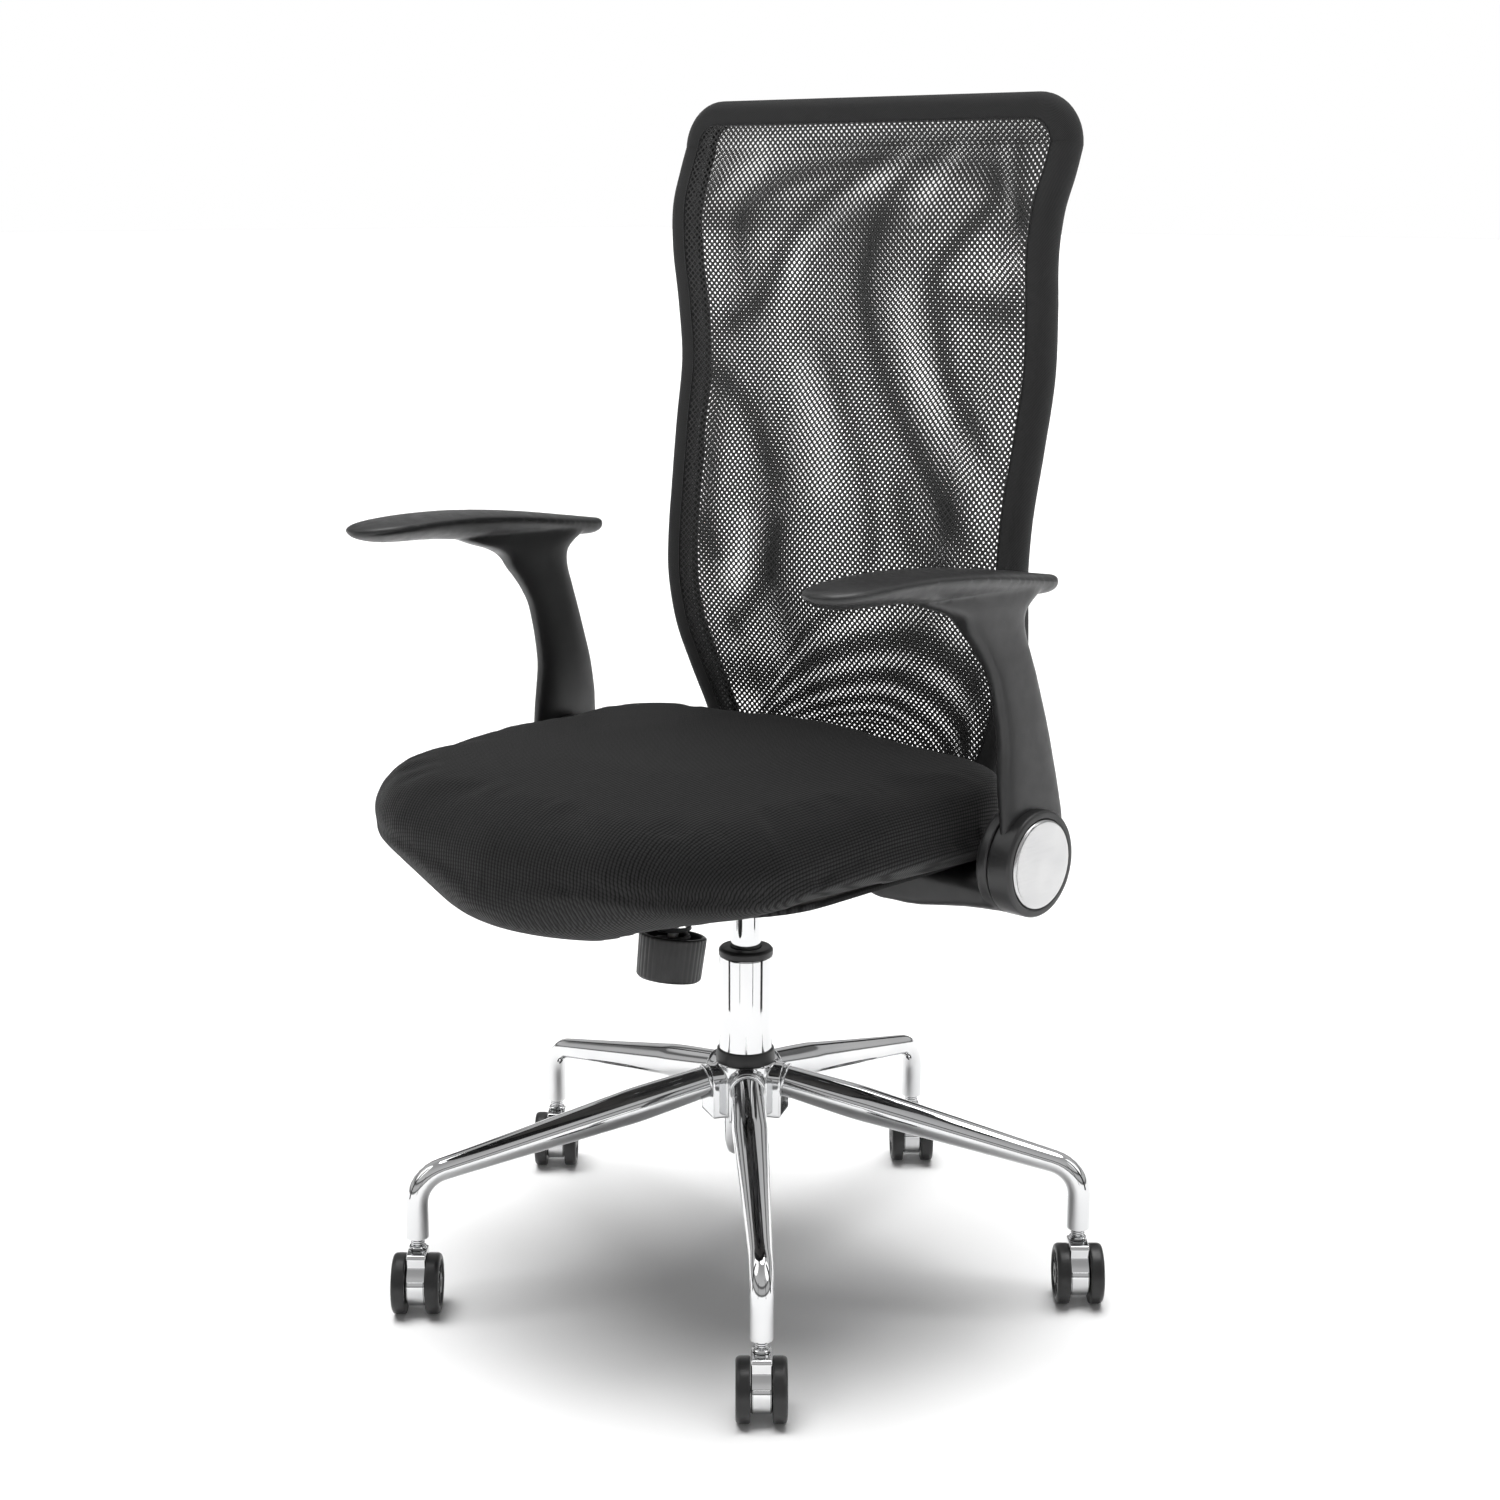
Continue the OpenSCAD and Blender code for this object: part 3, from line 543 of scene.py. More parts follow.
for k in range(5):
    tube = sweep([p[:3] for p in smooth_leg], lambda i: smooth_leg[i][3], 40, (0, 1, 0), caps=False)
    foot = moved(lathe([(10.3, 69), (10.2, 68.3), (9.6, 68), (7.0, 68), (5.9, 68.6), (5.8, 74)], 40),
                 at(REACH, 0, 0))
    bead_at = Matrix.Translation((SOCKET + 0.6, 0, LEG_Z)) @ Matrix.Rotation(pi / 2 + slope, 4, "Y")
    bead = moved(torus(14.9, 1.5, 56, 10), bead_at)
    piece(f"leg_tube_{k + 1}", [tube, (foot[0], foot[1][:-2]), bead], CHROME, "base",
          (f"leg_{k + 1}",),
          heading(k), 50)

core = lathe([(28.4, HUB_LOW + 1), (28.4, HUB_TOP)], 72)
sockets = [core]
for k in range(5):
    top = [(17 * cos(a), LEG_Z - 0.6 + 17 * sin(a)) for a in np.linspace(0, pi, 25)]
    outline = [(17, HUB_LOW + 2)] + top + [(-17, HUB_LOW + 2)]
    sockets.append(moved(prism(outline, 0, SOCKET), heading(k)))
hub = merge(sockets, 0.9, 10)
finish_piece("hub", hub, CHROME, "base", ("base_hub",), 180)

tube_profile = [(12.3, 117.5), (12.3, 110.3), (16.4, 110), (17.2, 110.8), (20, 122), (20, 147.5),
                (22.4, 148.5), (24.9, 211), (25, 213),
                (25, 300), (24.6, 301.6), (23.8, 302)]
piece("column_sleeve", [lathe(tube_profile, 96)], CHROME, "base", ("column_tube",))
piece("hub_collar", [lathe(rounded([(25.2, 200), (28, 200), (27.6, 206), (26.6, 211.8), (25.1, 212)], 1.2),
                           80)],
      BLACK, "base", ("column_collar",))
piece("column_ring", [lathe(rounded([(23.3, 226), (23.3, 302), (25.3, 302.1), (25.4, 307.6), (23.4, 310),
                                     (15, 310), (14.35, 309),
                             (14.3, 226)], 1.0), 80)], BLACK, "base", ("column_bush",))
dress(ZINC, "thrust_bearing", "rod_clip", "piston_rod", "release_pin", "lever_pin")

# ---- gas lift ------------------------------------------------------------------
piece("gas_lift_tube", [lathe([(8, 205.3), (12.6, 205), (13.6, 205.9), (14, 207), (14, 355), (13.95, 357),
                               (13, 386), (12.4, 389.6), (8, 390)], 80)],
      CHROME, "mechanism", ("gas_cylinder",))

# ---- castors -------------------------------------------------------------------
CASTOR_HEADING, WHEEL, TRAIL, PLATE = 43, 27.5, 10, 18


def castor_place(k):
    a = radians(LEG_HEADING + 72 * k)
    return Matrix.Translation((REACH * sin(a), -REACH * cos(a),
                               0)) @ Matrix.Rotation(radians(CASTOR_HEADING), 4, "Z")


def castor_wheel(side):
    """Half of a twin wheel: tread, rim, and a dished face with a raised boss."""
    inner, width = PLATE / 2 + 0.4, 12.2
    profile = [(3.2, inner + 0.3), (21.5, inner + 0.3)] + rounded(
        [(21.5, inner), (27.0, inner), (27.5, inner + 1.2), (27.5, inner + width - 3.4),
         (26.6, inner + width - 1.0),
         (24.6, inner + width), (21.6, inner + width - 0.1), (20.8, inner + width - 2.2),
         (19.4, inner + width - 2.6)], 1.2) + [
        (9.6, inner + width - 1.9), (9.2, inner + width - 0.5), (8.0, inner + width - 0.2),
                                               (4.0, inner + width - 0.4),
        (3.2, inner + width - 1.4)]
    part = lathe(profile, 72)
    return moved(part, Matrix.Translation((0, -TRAIL, WHEEL)) @ Matrix.Rotation(side * pi / 2, 4, "Y"))


def wheel_webs(side):
    parts = []
    for i in range(9):
        a = 2 * pi * i / 9
        box = prism([(10.2, -0.6), (19.2, -0.6), (19.2, 0.6), (10.2, 0.6)], 19.0, 20.3)
        points = [(y * cos(a) - z * sin(a), y * sin(a) + z * cos(a), x) for x, y, z in box[0]]
        parts.append(moved((points, box[1]), Matrix.Translation((0, -TRAIL, WHEEL))
                           @ Matrix.Rotation(side * pi / 2, 4, "Y")))
    return parts


band_outline = [(-TRAIL + r * cos(a), WHEEL + r * sin(a)) for r, s in ((20.0, 1), (18.6, -1))
                for a in np.linspace(radians(-100), radians(-205), 12)[::s]]
body_outline = [(-TRAIL + 19.3 * cos(a), WHEEL + 19.3 * sin(a))
                for a in np.linspace(radians(40), radians(-225), 34)]
body_outline = [(9, 56.8), (9, 45)] + [p for p in body_outline
                                       if not (p[0] > 6 and p[1] > 36)] + [(-19, 45), (-19, 54),
                                                                           (-16.5, 56.8)]
for k in range(5):
    place = castor_place(k)
    to_m = Matrix.Translation(place.translation * MM) @ place.to_3x3().to_4x4()
    n = k + 1
    piece(f"castor_wheel_pair_{n}", [castor_wheel(1), castor_wheel(-1)] + wheel_webs(1) + wheel_webs(-1),
          TREAD,
          f"wheels_{n}", (f"castor_wheels_{n}",), to_m, 28)
    piece(f"castor_fork_{n}", [prism(body_outline, -PLATE / 2, PLATE / 2)], CHROME, f"castor_{n}",
          (f"castor_body_{n}",), to_m, 40, 0, 1.3)
    piece(f"castor_band_{n}", [prism(band_outline, -PLATE / 2 + 1.5, PLATE / 2 - 1.5)], CHROME,
          f"castor_{n}",
          (), to_m, 40, 0, 0.5)
dress(ZINC, *[f"castor_axle_{k}" for k in range(1, 6)])

stems = []
for k in range(5):
    a = radians(LEG_HEADING + 72 * k)
    spot = Matrix.Translation((REACH * sin(a), -REACH * cos(a), 0))
    ridge = []
    for i in range(4):
        z = 60.6 + 1.9 * i
        ridge += [(5.2, z), (6.3, z + 0.5), (6.3, z + 0.9), (5.2, z + 1.4)]
    profile = [(4, 34), (4, 57), (7.6, 57.2), (8.0, 57.8), (8.0, 59.4),
               (7.4, 60.2)] + ridge + [(5.5, 68.4), (5.5, 99), (5, 100)]
    stems.append(moved(lathe(profile, 40), spot))
piece("castor_stem_set", stems, CHROME, "base", ("castor_stems",))


# ---- mechanism and under the seat -----------------------------------------------
softened("tilt_case", "tilt_housing", COAT, "mechanism", 1.6)
softened("mounting_plate", "seat_plate", COAT, "seat", 0.9)
softened("tube_clamps", "frame_clamps", COAT, "seat", 0.9)
dress(COAT, "taper_socket", "lever_rod", "tension_spring")
dress(ZINC, "pivot_pin", "hook_pin", "tension_bolt", "spring_seat")
for side, s in SIDES:
    dress(ZINC, f"arm_pivot_{side}")
    dress(ACETAL, f"arm_bush_{side}")


def hex_bolt(x, y, z, across, height, washer, shank, length):
    """Hexagon head downwards, with a washer above it and the shank through the plate."""
    r = across / sqrt(3)
    rings = []
    for q, h in ((r * 0.86, 0), (r * 0.98, 0.5), (r, 1.0), (r, height)):
        rings.append([(x + q * cos(pi / 3 * i + 0.3), y + q * sin(pi / 3 * i + 0.3), z + h)
                      for i in range(6)])
    head = rings_to_mesh(rings)
    rod = moved(lathe([(shank, height), (shank, length)], 20), Matrix.Translation((x, y, z)))
    ring = moved(lathe([(shank, height - 0.9), (washer, height - 0.9), (washer, height - 0.1),
                        (shank, height - 0.1)], 28),
                 Matrix.Translation((x, y, z)))
    return [head, rod, ring]


parts = []
for x in (-66, 66):
    for y in (-85, 45):
        parts += hex_bolt(x, y, 416.1, 9.6, 3.9, 6, 3, 17.8)
piece("plate_bolts", parts, ZINC, "seat", ("seat_bolts",), None, 25)
parts = []
for s in (-1, 1):
    for y in (45, 88):
        for q in (-17, 17):
            parts += hex_bolt(s * 150 + q, y, 395.5, 7.2, 3.5, 4.5, 2.5, 37.3)
piece("clamp_screws", parts, ZINC, "seat", ("clamp_bolts",), None, 25)
parts = []
for s in (-1, 1):
    for y in (8, 70):
        parts += hex_bolt(s * 200, y, 396.1, 9.0, 3.9, 5.5, 3, 36.7)
piece("bracket_bolts", parts, ZINC, "seat", ("arm_bolts",), None, 25)

bolt_at = Matrix.Translation((0, -0.103, 0.302)) @ Matrix.Rotation(radians(-9), 4, "X")
RIBS = 36
knob_profile = rounded([(5.4, 4.8), (5.4, 1.2), (9, 0.6), (20, 0.9), (26.8, 0.2), (28.9, 2.4), (30.1, 39),
                        (29.4, 41), (26.4, 41), (26, 39.6), (26, 11),
                        (5.4, 11)], 1.2)
piece("tension_handwheel",
      [lathe(knob_profile, RIBS * 6,
             lambda a, r, z: r + (0.75 * (abs(sin(a * RIBS / 2)) ** 0.7) * min(1, max(0, (z - 1.5) / 3))
                                  if r > 27.8 and z < 40.2 else 0))],
      BLACK, "knob", ("tension_knob",), bolt_at, 60)

grip_rings = []
for x, w, h, z, y in ((-158, 4.6, 4.6, 384.1, -35), (-160, 6.2, 6.0, 384.0, -35),
                      (-168, 6.6, 6.3, 383.8, -35), (-190, 8.2, 6.0, 383.2, -35.3),
                      (-215, 10.8, 5.4, 382.4, -36), (-232, 12.0, 4.9, 381.7, -36),
                      (-238, 11.2, 4.4, 381.5, -36), (-241, 8.0, 2.9, 381.4, -36)):
    grip_rings.append([(x, y + w * cos(a), z + h * sin(a))
                       for a in np.linspace(0, 2 * pi, 24, endpoint=False)])
piece("lever_paddle", [rings_to_mesh(grip_rings)], BLACK, "lever", ("lever_grip",), None,
      60, 1)


# ---- back ------------------------------------------------------------------------
FRAME_Z, TOP, BEND, HALF, CORNER = 412.5, 1067, 32, 219, 167
upright = [(150, 22, FRAME_Z), (150, 60, FRAME_Z), (150, 100, FRAME_Z), (150, 112, FRAME_Z + 0.3),
           (150, 134, FRAME_Z + 9),
           (151, 146, FRAME_Z + 30),
           (161, 147, 470), (175, 147, 500), (190, 140, 540), (201, 132, 580), (205, 126, 625),
           (204, 125, 665), (204, 130, 715),
           (207, 140, 775), (209, 150, 835), (211.5, 148, 890), (214, 143, 940), (217, 146, 980),
           (219, 158, 1012),
           (219, 167, TOP - BEND)]
up_line = spline(upright, 6)[:-1]
bend_line = [(HALF - BEND + BEND * cos(radians(a)), CORNER + sin(radians(a)),
              TOP - BEND + BEND * sin(radians(a)))
             for a in np.linspace(0, 90, 13)]
half_line = [tuple(p) for p in up_line] + bend_line
across = [(x, CORNER + 1, TOP) for x in np.linspace(HALF - BEND, -(HALF - BEND), 26)[1:-1]]
frame_line = half_line + across + [(-x, y, z) for x, y, z in half_line[::-1]]


def frame_axes(path):
    """Outward and forward directions round the frame, square to it, in the same sense all the way."""
    path = [Vector(p) for p in path]
    out = []
    for i, p in enumerate(path):
        t = (path[min(i + 1, len(path) - 1)] - path[max(i - 1, 0)]).normalized()
        ref = Vector((0, -1, 0)) if p.z > 455 else Vector((0, -1, 0)).lerp(Vector((0, 0, 1)),
                                                                           min(1, (455 - p.z) / 35))
        front = (ref - t * ref.dot(t)).normalized()
        out.append((p, t, front.cross(t).normalized() * (-1), front))
    return out


frame_tube = [[p + o * (11 * cos(a)) + f * (11 * sin(a))
               for a in np.linspace(0, 2 * pi, 28, endpoint=False)]
              for p, t, o, f in frame_axes(frame_line)]
piece("back_tube", [rings_to_mesh(frame_tube)], COAT, "seat", ("back_frame",))

# sleeve of the cover: a C round the tube, with two flaps that the mesh is sewn to
SLEEVE, FLAP = 12.8, 10.5
section = [(-FLAP, -12.2), (-5, -12.8)] + [(SLEEVE * sin(a), -SLEEVE * cos(a))
                                           for a in np.linspace(0, pi, 17)] + [
    (-5, 12.8), (-FLAP, 12.2)]
inside = [(o * 0.93 if o > 0 else o, f - (1.0 if f > 0 else -1.0)) for o, f in section[::-1]]
ring_shape = section + inside
sleeve_path = [p for p in frame_line if p[2] > 447]


def sleeve_mesh():
    rings, weave = [], []
    s, last = 0, None
    around = [0]
    for a, b in zip(ring_shape, ring_shape[1:]):
        around.append(around[-1] + hypot(b[0] - a[0], b[1] - a[1]))
    for p, t, o, f in frame_axes(sleeve_path):
        s += (p - last).length if last else 0
        last = p
        rings.append([p + o * u + f * -v for u, v in ring_shape])
        weave += [(s, q, 0) for q in around]
    return rings_to_mesh(rings), weave


(sleeve_part, sleeve_weave) = sleeve_mesh()
sleeve = piece("back_sleeve", [sleeve_part], TWILL, "seat", (), None, 60)
attribute = sleeve.data.attributes.new("weave", "FLOAT_VECTOR", "POINT")
attribute.data.foreach_set("vector", np.array(sleeve_weave, np.float32).ravel())

# stitched seams along both flaps
for name, depth in (("front", 1), ("rear", -1)):
    path = [p + o * (-FLAP + 0.6) + f * (12.4 * depth) for p, t, o, f in frame_axes(sleeve_path)]
    fine = spline([tuple(p) for p in path], 3)
    seam = piece(f"seam_{name}", [sweep([tuple(p) for p in fine], 0.8, 8, (0, 1, 0))], TWILL, "seat",
                 (), None, 180)
    a = seam.data.attributes.new("weave", "FLOAT_VECTOR", "POINT")
    a.data.foreach_set("vector", np.array([c * 1000 for v in seam.data.vertices for c in v.co], np.float32))


# the two layers of mesh, stretched between the flaps
def inner_edge(depth):
    """Height, half width and depth of the flap's edge, up one side, over the corner."""
    return [(p + o * (-FLAP + 0.5) + f * (12.2 * depth)) for p, t, o,
            f in frame_axes([q for q in half_line if q[2] > 447])]


ROWS, COLUMNS = 180, 96
# folds of the loose mesh, from above: points in X and Z, half width, and how far the holes close
FOLDS = (
    ([(62, 1048), (-35, 990), (-88, 930), (-120, 890), (-195, 850)], 11, 0.5),
    ([(80, 1042), (35, 1015), (-10, 982), (-60, 945), (-78, 905)], 10, -0.45),
    ([(92, 1036), (52, 1005), (18, 930), (15, 890), (36, 830), (92, 760), (150, 694), (182, 668)], 10, 0.5),
    ([(120, 1040), (88, 1000), (72, 960)], 9, -0.4),
    ([(146, 1045), (162, 992), (132, 958), (99, 924), (101, 880), (115, 830), (152, 786), (192, 750)], 9,
     0.55),
    ([(172, 1045), (188, 1000), (200, 960)], 7, 0.4),
    ([(156, 1040), (174, 1002), (186, 968)], 6, -0.4),
    ([(101, 903), (150, 893), (200, 893)], 12, 0.4),
    ([(62, 930), (60, 880), (82, 830), (130, 775), (175, 715)], 13, -0.45),
    ([(150, 925), (180, 930), (202, 940)], 12, -0.35),
    ([(-205, 980), (-135, 966), (-80, 985)], 12, 0.3),
    ([(-195, 1030), (-160, 1025), (-110, 1030)], 20, -0.35),
    ([(-200, 838), (-135, 803), (-95, 753), (-68, 715)], 11, 0.45),
    ([(-88, 850), (-55, 810), (-25, 760), (-15, 690)], 20, -0.35),
    ([(-198, 690), (-158, 666), (-150, 640)], 14, 0.4),
    ([(-72, 705), (-76, 655), (-110, 604), (-150, 568)], 10, 0.45),
    ([(-105, 700), (-112, 655), (-140, 615)], 14, -0.4),
    ([(-52, 872), (-18, 815), (22, 750), (44, 684), (34, 645)], 9, 0.3),
    ([(68, 742), (82, 698), (106, 666)], 10, 0.35),
)


def stretch_of(points):
    """How far the holes are open at each point, from 0 to 1."""
    x, z = np.array([(p[0], p[2]) for p in points]).T
    value = np.clip(0.42 + (z - 700) / 2600, 0.42, 0.56)
    for line, width, depth in FOLDS:
        way = np.array([tuple(q) for q in spline(line, 8)])
        far = (x[:, None] - way[:, 0]) ** 2 + (z[:, None] - way[:, 1]) ** 2
        along = np.argmin(far, axis=1) / (len(way) - 1)
        fade = np.clip(np.minimum(along, 1 - along) * 6, 0.25, 1)
        value -= depth * fade * np.exp(-far.min(axis=1) / (1.25 * width) ** 2)
    # arches that lean to the sitter's left above the seat, closer together lower down
    lean = x - z * 0.65 + 297
    steep = np.log(np.maximum(1 - (np.sqrt(lean ** 2 + 150) - 12) / 128, 0.02))
    reach = z - 500 - steep * 30
    arches = np.sin((np.log(np.maximum(reach + 12, 4)) / 0.457 - 0.45) * 2 * pi)
    near_seat = np.clip((185 - reach) / 50, 0, 1)
    value = value * (1 - near_seat) + (0.26 + 0.36 * arches) * near_seat
    return np.clip(value, 0, 1)


def layer(name, depth, material):
    edge = [p for p in inner_edge(depth) if p.x > 0]
    heights = np.linspace(edge[0].z, max(p.z for p in edge) - 0.2, ROWS)
    zs = [p.z for p in edge]
    order = np.argsort(zs)
    zs, xs, ys = (np.array([getattr(p, c) for p in edge])[order] for c in "zxy")
    n = COLUMNS
    rows = []
    for z in heights:
        w, y = np.interp(z, zs, xs), np.interp(z, zs, ys)
        low = min(1, (z - heights[0]) / 60) * min(1, (heights[-1] - z) / 60)
        row = []
        for i in range(n + 1):
            t = 2 * i / n - 1
            pull = (1 - t * t) * (5.5 * depth * low + 2.5 * low)
            row.append((t * w, y + pull, z))
        rows.append(row)
    points = [p for row in rows for p in row]
    faces = [(j * (n + 1) + i, j * (n + 1) + i + 1, (j + 1) * (n + 1) + i + 1, (j + 1) * (n + 1) + i)
             for j in range(len(rows) - 1) for i in range(n)]
    o = piece(name, [(points, faces)], material, "seat", ("back_mesh",), None, 180)
    a = o.data.attributes.new("stretch", "FLOAT", "POINT")
    a.data.foreach_set("value", stretch_of([tuple(c * 1000 for c in v.co)
                                            for v in o.data.vertices]).astype(np.float32))
    return o


for name, depth, material in (("mesh_front", 1, MESH_FRONT), ("mesh_rear", -1, MESH_REAR)):
    o = layer(name, depth, material)
hem_path = [(x, 146 - 0.5 * (1 - (x / 134) ** 2), 447.5) for x in np.linspace(-134, 134, 21)]
hem_rings = []
for x, y, z in hem_path:
    hem_rings.append([(x, y + 13.4 * cos(a), z + 4.2 * sin(a))
                      for a in np.linspace(0, 2 * pi, 24, endpoint=False)])
hem = piece("back_hem", [rings_to_mesh(hem_rings)], TWILL, "seat")
a = hem.data.attributes.new("weave", "FLOAT_VECTOR", "POINT")
a.data.foreach_set("vector", np.array([c * 1000 for v in hem.data.vertices for c in v.co], np.float32))


# ---- seat ------------------------------------------------------------------------
def cushion_mesh():
    """The seat pad, taut over its foam: the CAD solid remeshed, eased and blown up as cloth."""
    mesh = nodes["seat_cushion"].data.copy()
    o = bpy.data.objects.new("cushion_start", mesh)
    scene.collection.objects.link(o)
    m = o.modifiers.new("remesh", "REMESH")
    m.mode, m.voxel_size = "VOXEL", 0.0055
    m = o.modifiers.new("smooth", "SMOOTH")
    m.factor, m.iterations = 0.5, 14
    start = applied(o)
    bpy.data.objects.remove(o)
    o = bpy.data.objects.new("cushion_cloth", start)
    scene.collection.objects.link(o)
    before = np.array([v.co for v in start.vertices])
    pin = o.vertex_groups.new(name="pin")
    for v in start.vertices:
        low = 0.4405
        held = 1.0 if v.co.z < low and v.normal.z < -0.3 else 0.0
        if held:
            pin.add([v.index], held, "REPLACE")
    m = o.modifiers.new("cloth", "CLOTH")
    c = m.settings
    c.quality, c.mass = 6, 0.25
    c.tension_stiffness = c.compression_stiffness = 18
    c.shear_stiffness, c.bending_stiffness = 8, 2.0
    c.use_pressure, c.uniform_pressure_force = True, 4.0
    c.effector_weights.gravity = 0
    c.vertex_group_mass = "pin"
    for f in range(1, 21):
        scene.frame_set(f)
    result = applied(o)
    after = np.array([v.co for v in result.vertices])
    move = after - before
    far = np.linalg.norm(move, axis=1, keepdims=True)
    after = before + move * np.minimum(1, 0.0045 / np.maximum(far, 1e-9))
    result.vertices.foreach_set("co", after.ravel())
    scene.frame_set(1)
    bpy.data.objects.remove(o)
    return result


def ease(t, low, high):
    t = np.clip((t - low) / (high - low), 0, 1)
    return t * t * (3 - 2 * t)


pad = cushion_mesh()
co = np.array([v.co for v in pad.vertices]) / MM
X, Y, Z = co.T
drop = 503 - Z
u = X + np.sign(X) * drop * ease(np.abs(X), 150, 246)
w = Y - drop * ease(-Y, 190, 325) + drop * ease(Y, 60, 124)
cushion = finish_piece("seat_pad", pad, SEAT, "seat", ("seat_cushion",), 180, 1)
a = cushion.data.attributes.new("weave", "FLOAT_VECTOR", "POINT")
a.data.foreach_set("vector", np.stack([u, w, u * 0], 1).astype(np.float32).ravel())


def board_edge(inset=0.0, n=14):
    """Outline of the plywood board, as in the CAD, moved in or out."""
    points = []
    for cx, cy, r, a0 in ((166, 52, 60, 0), (-166, 52, 60, 90), (-116, -150, 110, 180),
                          (116, -150, 110, 270)):
        for a in np.linspace(a0, a0 + 90, n):
            points.append((cx + (r + inset) * cos(radians(a)), cy + (r + inset) * sin(radians(a))))
    return points


def board_ring(z, inset):
    return [(x, y, z) for x, y in board_edge(inset)]


board_rings = [board_ring(z, i) for z, i in ((424.0, -1.4), (424.3, -0.5), (425.2, -0.1), (434, -0.1),
                                             (436, -0.3))]
piece("board_ply", [rings_to_mesh(board_rings)], PLY, "seat", ("seat_board",), None, 40)
# fabric turned under the board, and its staples
turned = [board_ring(z, i) for z, i in ((423.9, -34), (423.2, -33.4), (423.0, -30), (422.7, -12),
                                        (422.9, -2), (424.2, 1.2),
                                        (427.5, 2.0), (430, 1.0), (424.6, -8), (424.1, -30))]
hem_part = rings_to_mesh(turned, caps=False, closed=True)
turn = piece("turned_edge", [hem_part], SEAT, "seat", (), None, 180)
a = turn.data.attributes.new("weave", "FLOAT_VECTOR", "POINT")
a.data.foreach_set("vector", np.array([(v.co.x * 1000, v.co.y * 1000, 0) for v in turn.data.vertices],
                                      np.float32).ravel())
staples = []
edge = board_edge(-19, 40)
total = 0
last = edge[-1]
for p in edge:
    total += hypot(p[0] - last[0], p[1] - last[1])
    if total > 26:
        total = 0
        d = Vector((p[0] - last[0], p[1] - last[1], 0)).normalized()
        c = Vector((p[0], p[1], 422.5))
        path = [c - d * 5 + Vector((0, 0, 1.2)), c - d * 4.9, c - d * 4.4 - Vector((0, 0, 0.3)),
                c + d * 4.4 - Vector((0, 0, 0.3)),
                c + d * 4.9, c + d * 5 + Vector((0, 0, 1.2))]
        staples.append(sweep([tuple(q) for q in path], 0.55, 6, (0.3, 0.2, 1)))
    last = p
piece("staple_row", staples, ZINC, "seat", (), None, 40)


# ---- arms ------------------------------------------------------------------------
ARM_Z, ARM_Y, PAD_X = 437, 39, 277


def rounded_section(cx, cy, cz, hx, hy, power, n=44):
    """Superellipse in X and Y at height cz."""
    out = []
    for a in np.linspace(0, 2 * pi, n, endpoint=False):
        c, s = cos(a), sin(a)
        x = abs(c) ** (2 / power) * (1 if c > 0 else -1)
        y = abs(s) ** (2 / power) * (1 if s > 0 else -1)
        out.append((cx + hx * x, cy + hy * y, cz))
    return out


# post: height, front edge, rear edge, middle and half thickness in X
post = []
for z, y0, y1, cx, hx in ((428, 5, 84, 290.5, 5.5), (440, 3.4, 86, 290, 6), (455, 3, 86.6, 289.4, 6.2),
                          (470, 3, 86, 288.8, 6.5),
                          (484, 3, 83.6, 287.8, 7), (494, 3, 81.8, 286.6, 7.6), (505, 3.2, 80, 285.4, 8),
                          (522, 4.4, 76, 284, 8.3),
                          (540, 5, 71.4, 283, 8.5), (560, 2.4, 65, 282.4, 8.5), (580, -2, 58.1, 281.6, 8.5),
                          (600, -7.8, 51, 280.8, 8.7),
                          (612, -14.6, 46.2, 280, 9), (620, -20.2, 43, 279.4, 9.4),
                          (630, -28.4, 38.8, 278.8, 10), (640, -37.6, 35.8, 278.2, 11),
                          (648, -43, 34.8, 277.8, 12.4), (655, -51, 37, 277.4, 13.8),
                          (661, -64, 44, 277.2, 15), (667, -84, 54, 277, 15.6),
                          (674, -104, 62, 277, 15.6)):
    post.append((z, (y0 + y1) / 2, (y1 - y0) / 2, cx, hx))
post_rings = [rounded_section(p[3], p[1], p[0], p[4], p[2], 3.4)
              for p in [tuple(q) for q in spline(post, 3)]]

# pad: (y, half width, top, bottom at the middle, edge thickness)
pad_line = [(-227.6, 3, 693.6, 689.8, 2), (-225.5, 10.5, 695.2, 687.5, 4), (-220.5, 18, 697, 685, 6),
            (-212, 24, 698.6, 682.6, 7.6),
            (-200, 28, 700.0, 680.4, 8.6), (-182, 30.2, 701.2, 679, 9), (-158, 31.2, 702, 678.2, 9),
            (-130, 31.2, 702, 676.6, 9),
            (-100, 30.4, 701, 673.4, 9), (-60, 28.6, 698, 670.6, 8.8), (-20, 25.2, 693.4, 668.4, 8.8),
            (15, 20.8, 688.4, 667, 9),
            (40, 15.8, 684.6, 664.8, 10), (58, 12.6, 681.8, 663.6, 10.8), (70, 10.6, 680, 663.6, 11.4),
            (77, 8.8, 679, 664.8, 10.8),
            (81.4, 6.6, 677.8, 667, 8.6), (84.2, 3.4, 675.6, 670, 4.6)]
pad_rings = []
for y, hw, top, bottom, edge_t in [tuple(q) for q in spline(pad_line, 3)]:
    ring = []
    crown = min(2.2, hw * 0.12)
    mid = top - crown - edge_t / 2
    for a in np.linspace(0, 2 * pi, 44, endpoint=False):
        c, s = cos(a), sin(a)
        x = abs(c) ** (2 / 2.6) * (1 if c > 0 else -1)
        if s >= 0:
            zz = mid + (edge_t / 2) * abs(s) ** (2 / 3.4) + crown * (1 - x * x)
        else:
            belly = max(0.0, mid - edge_t / 2 - bottom)
            zz = mid - (edge_t / 2) * abs(s) ** (2 / 2.6) - belly * (1 - abs(x) ** 1.9)
        ring.append((PAD_X + hw * x, y, zz))
    pad_rings.append(ring)
arm_skin = merge([rings_to_mesh(post_rings), rings_to_mesh(pad_rings)], 1.7, 8)

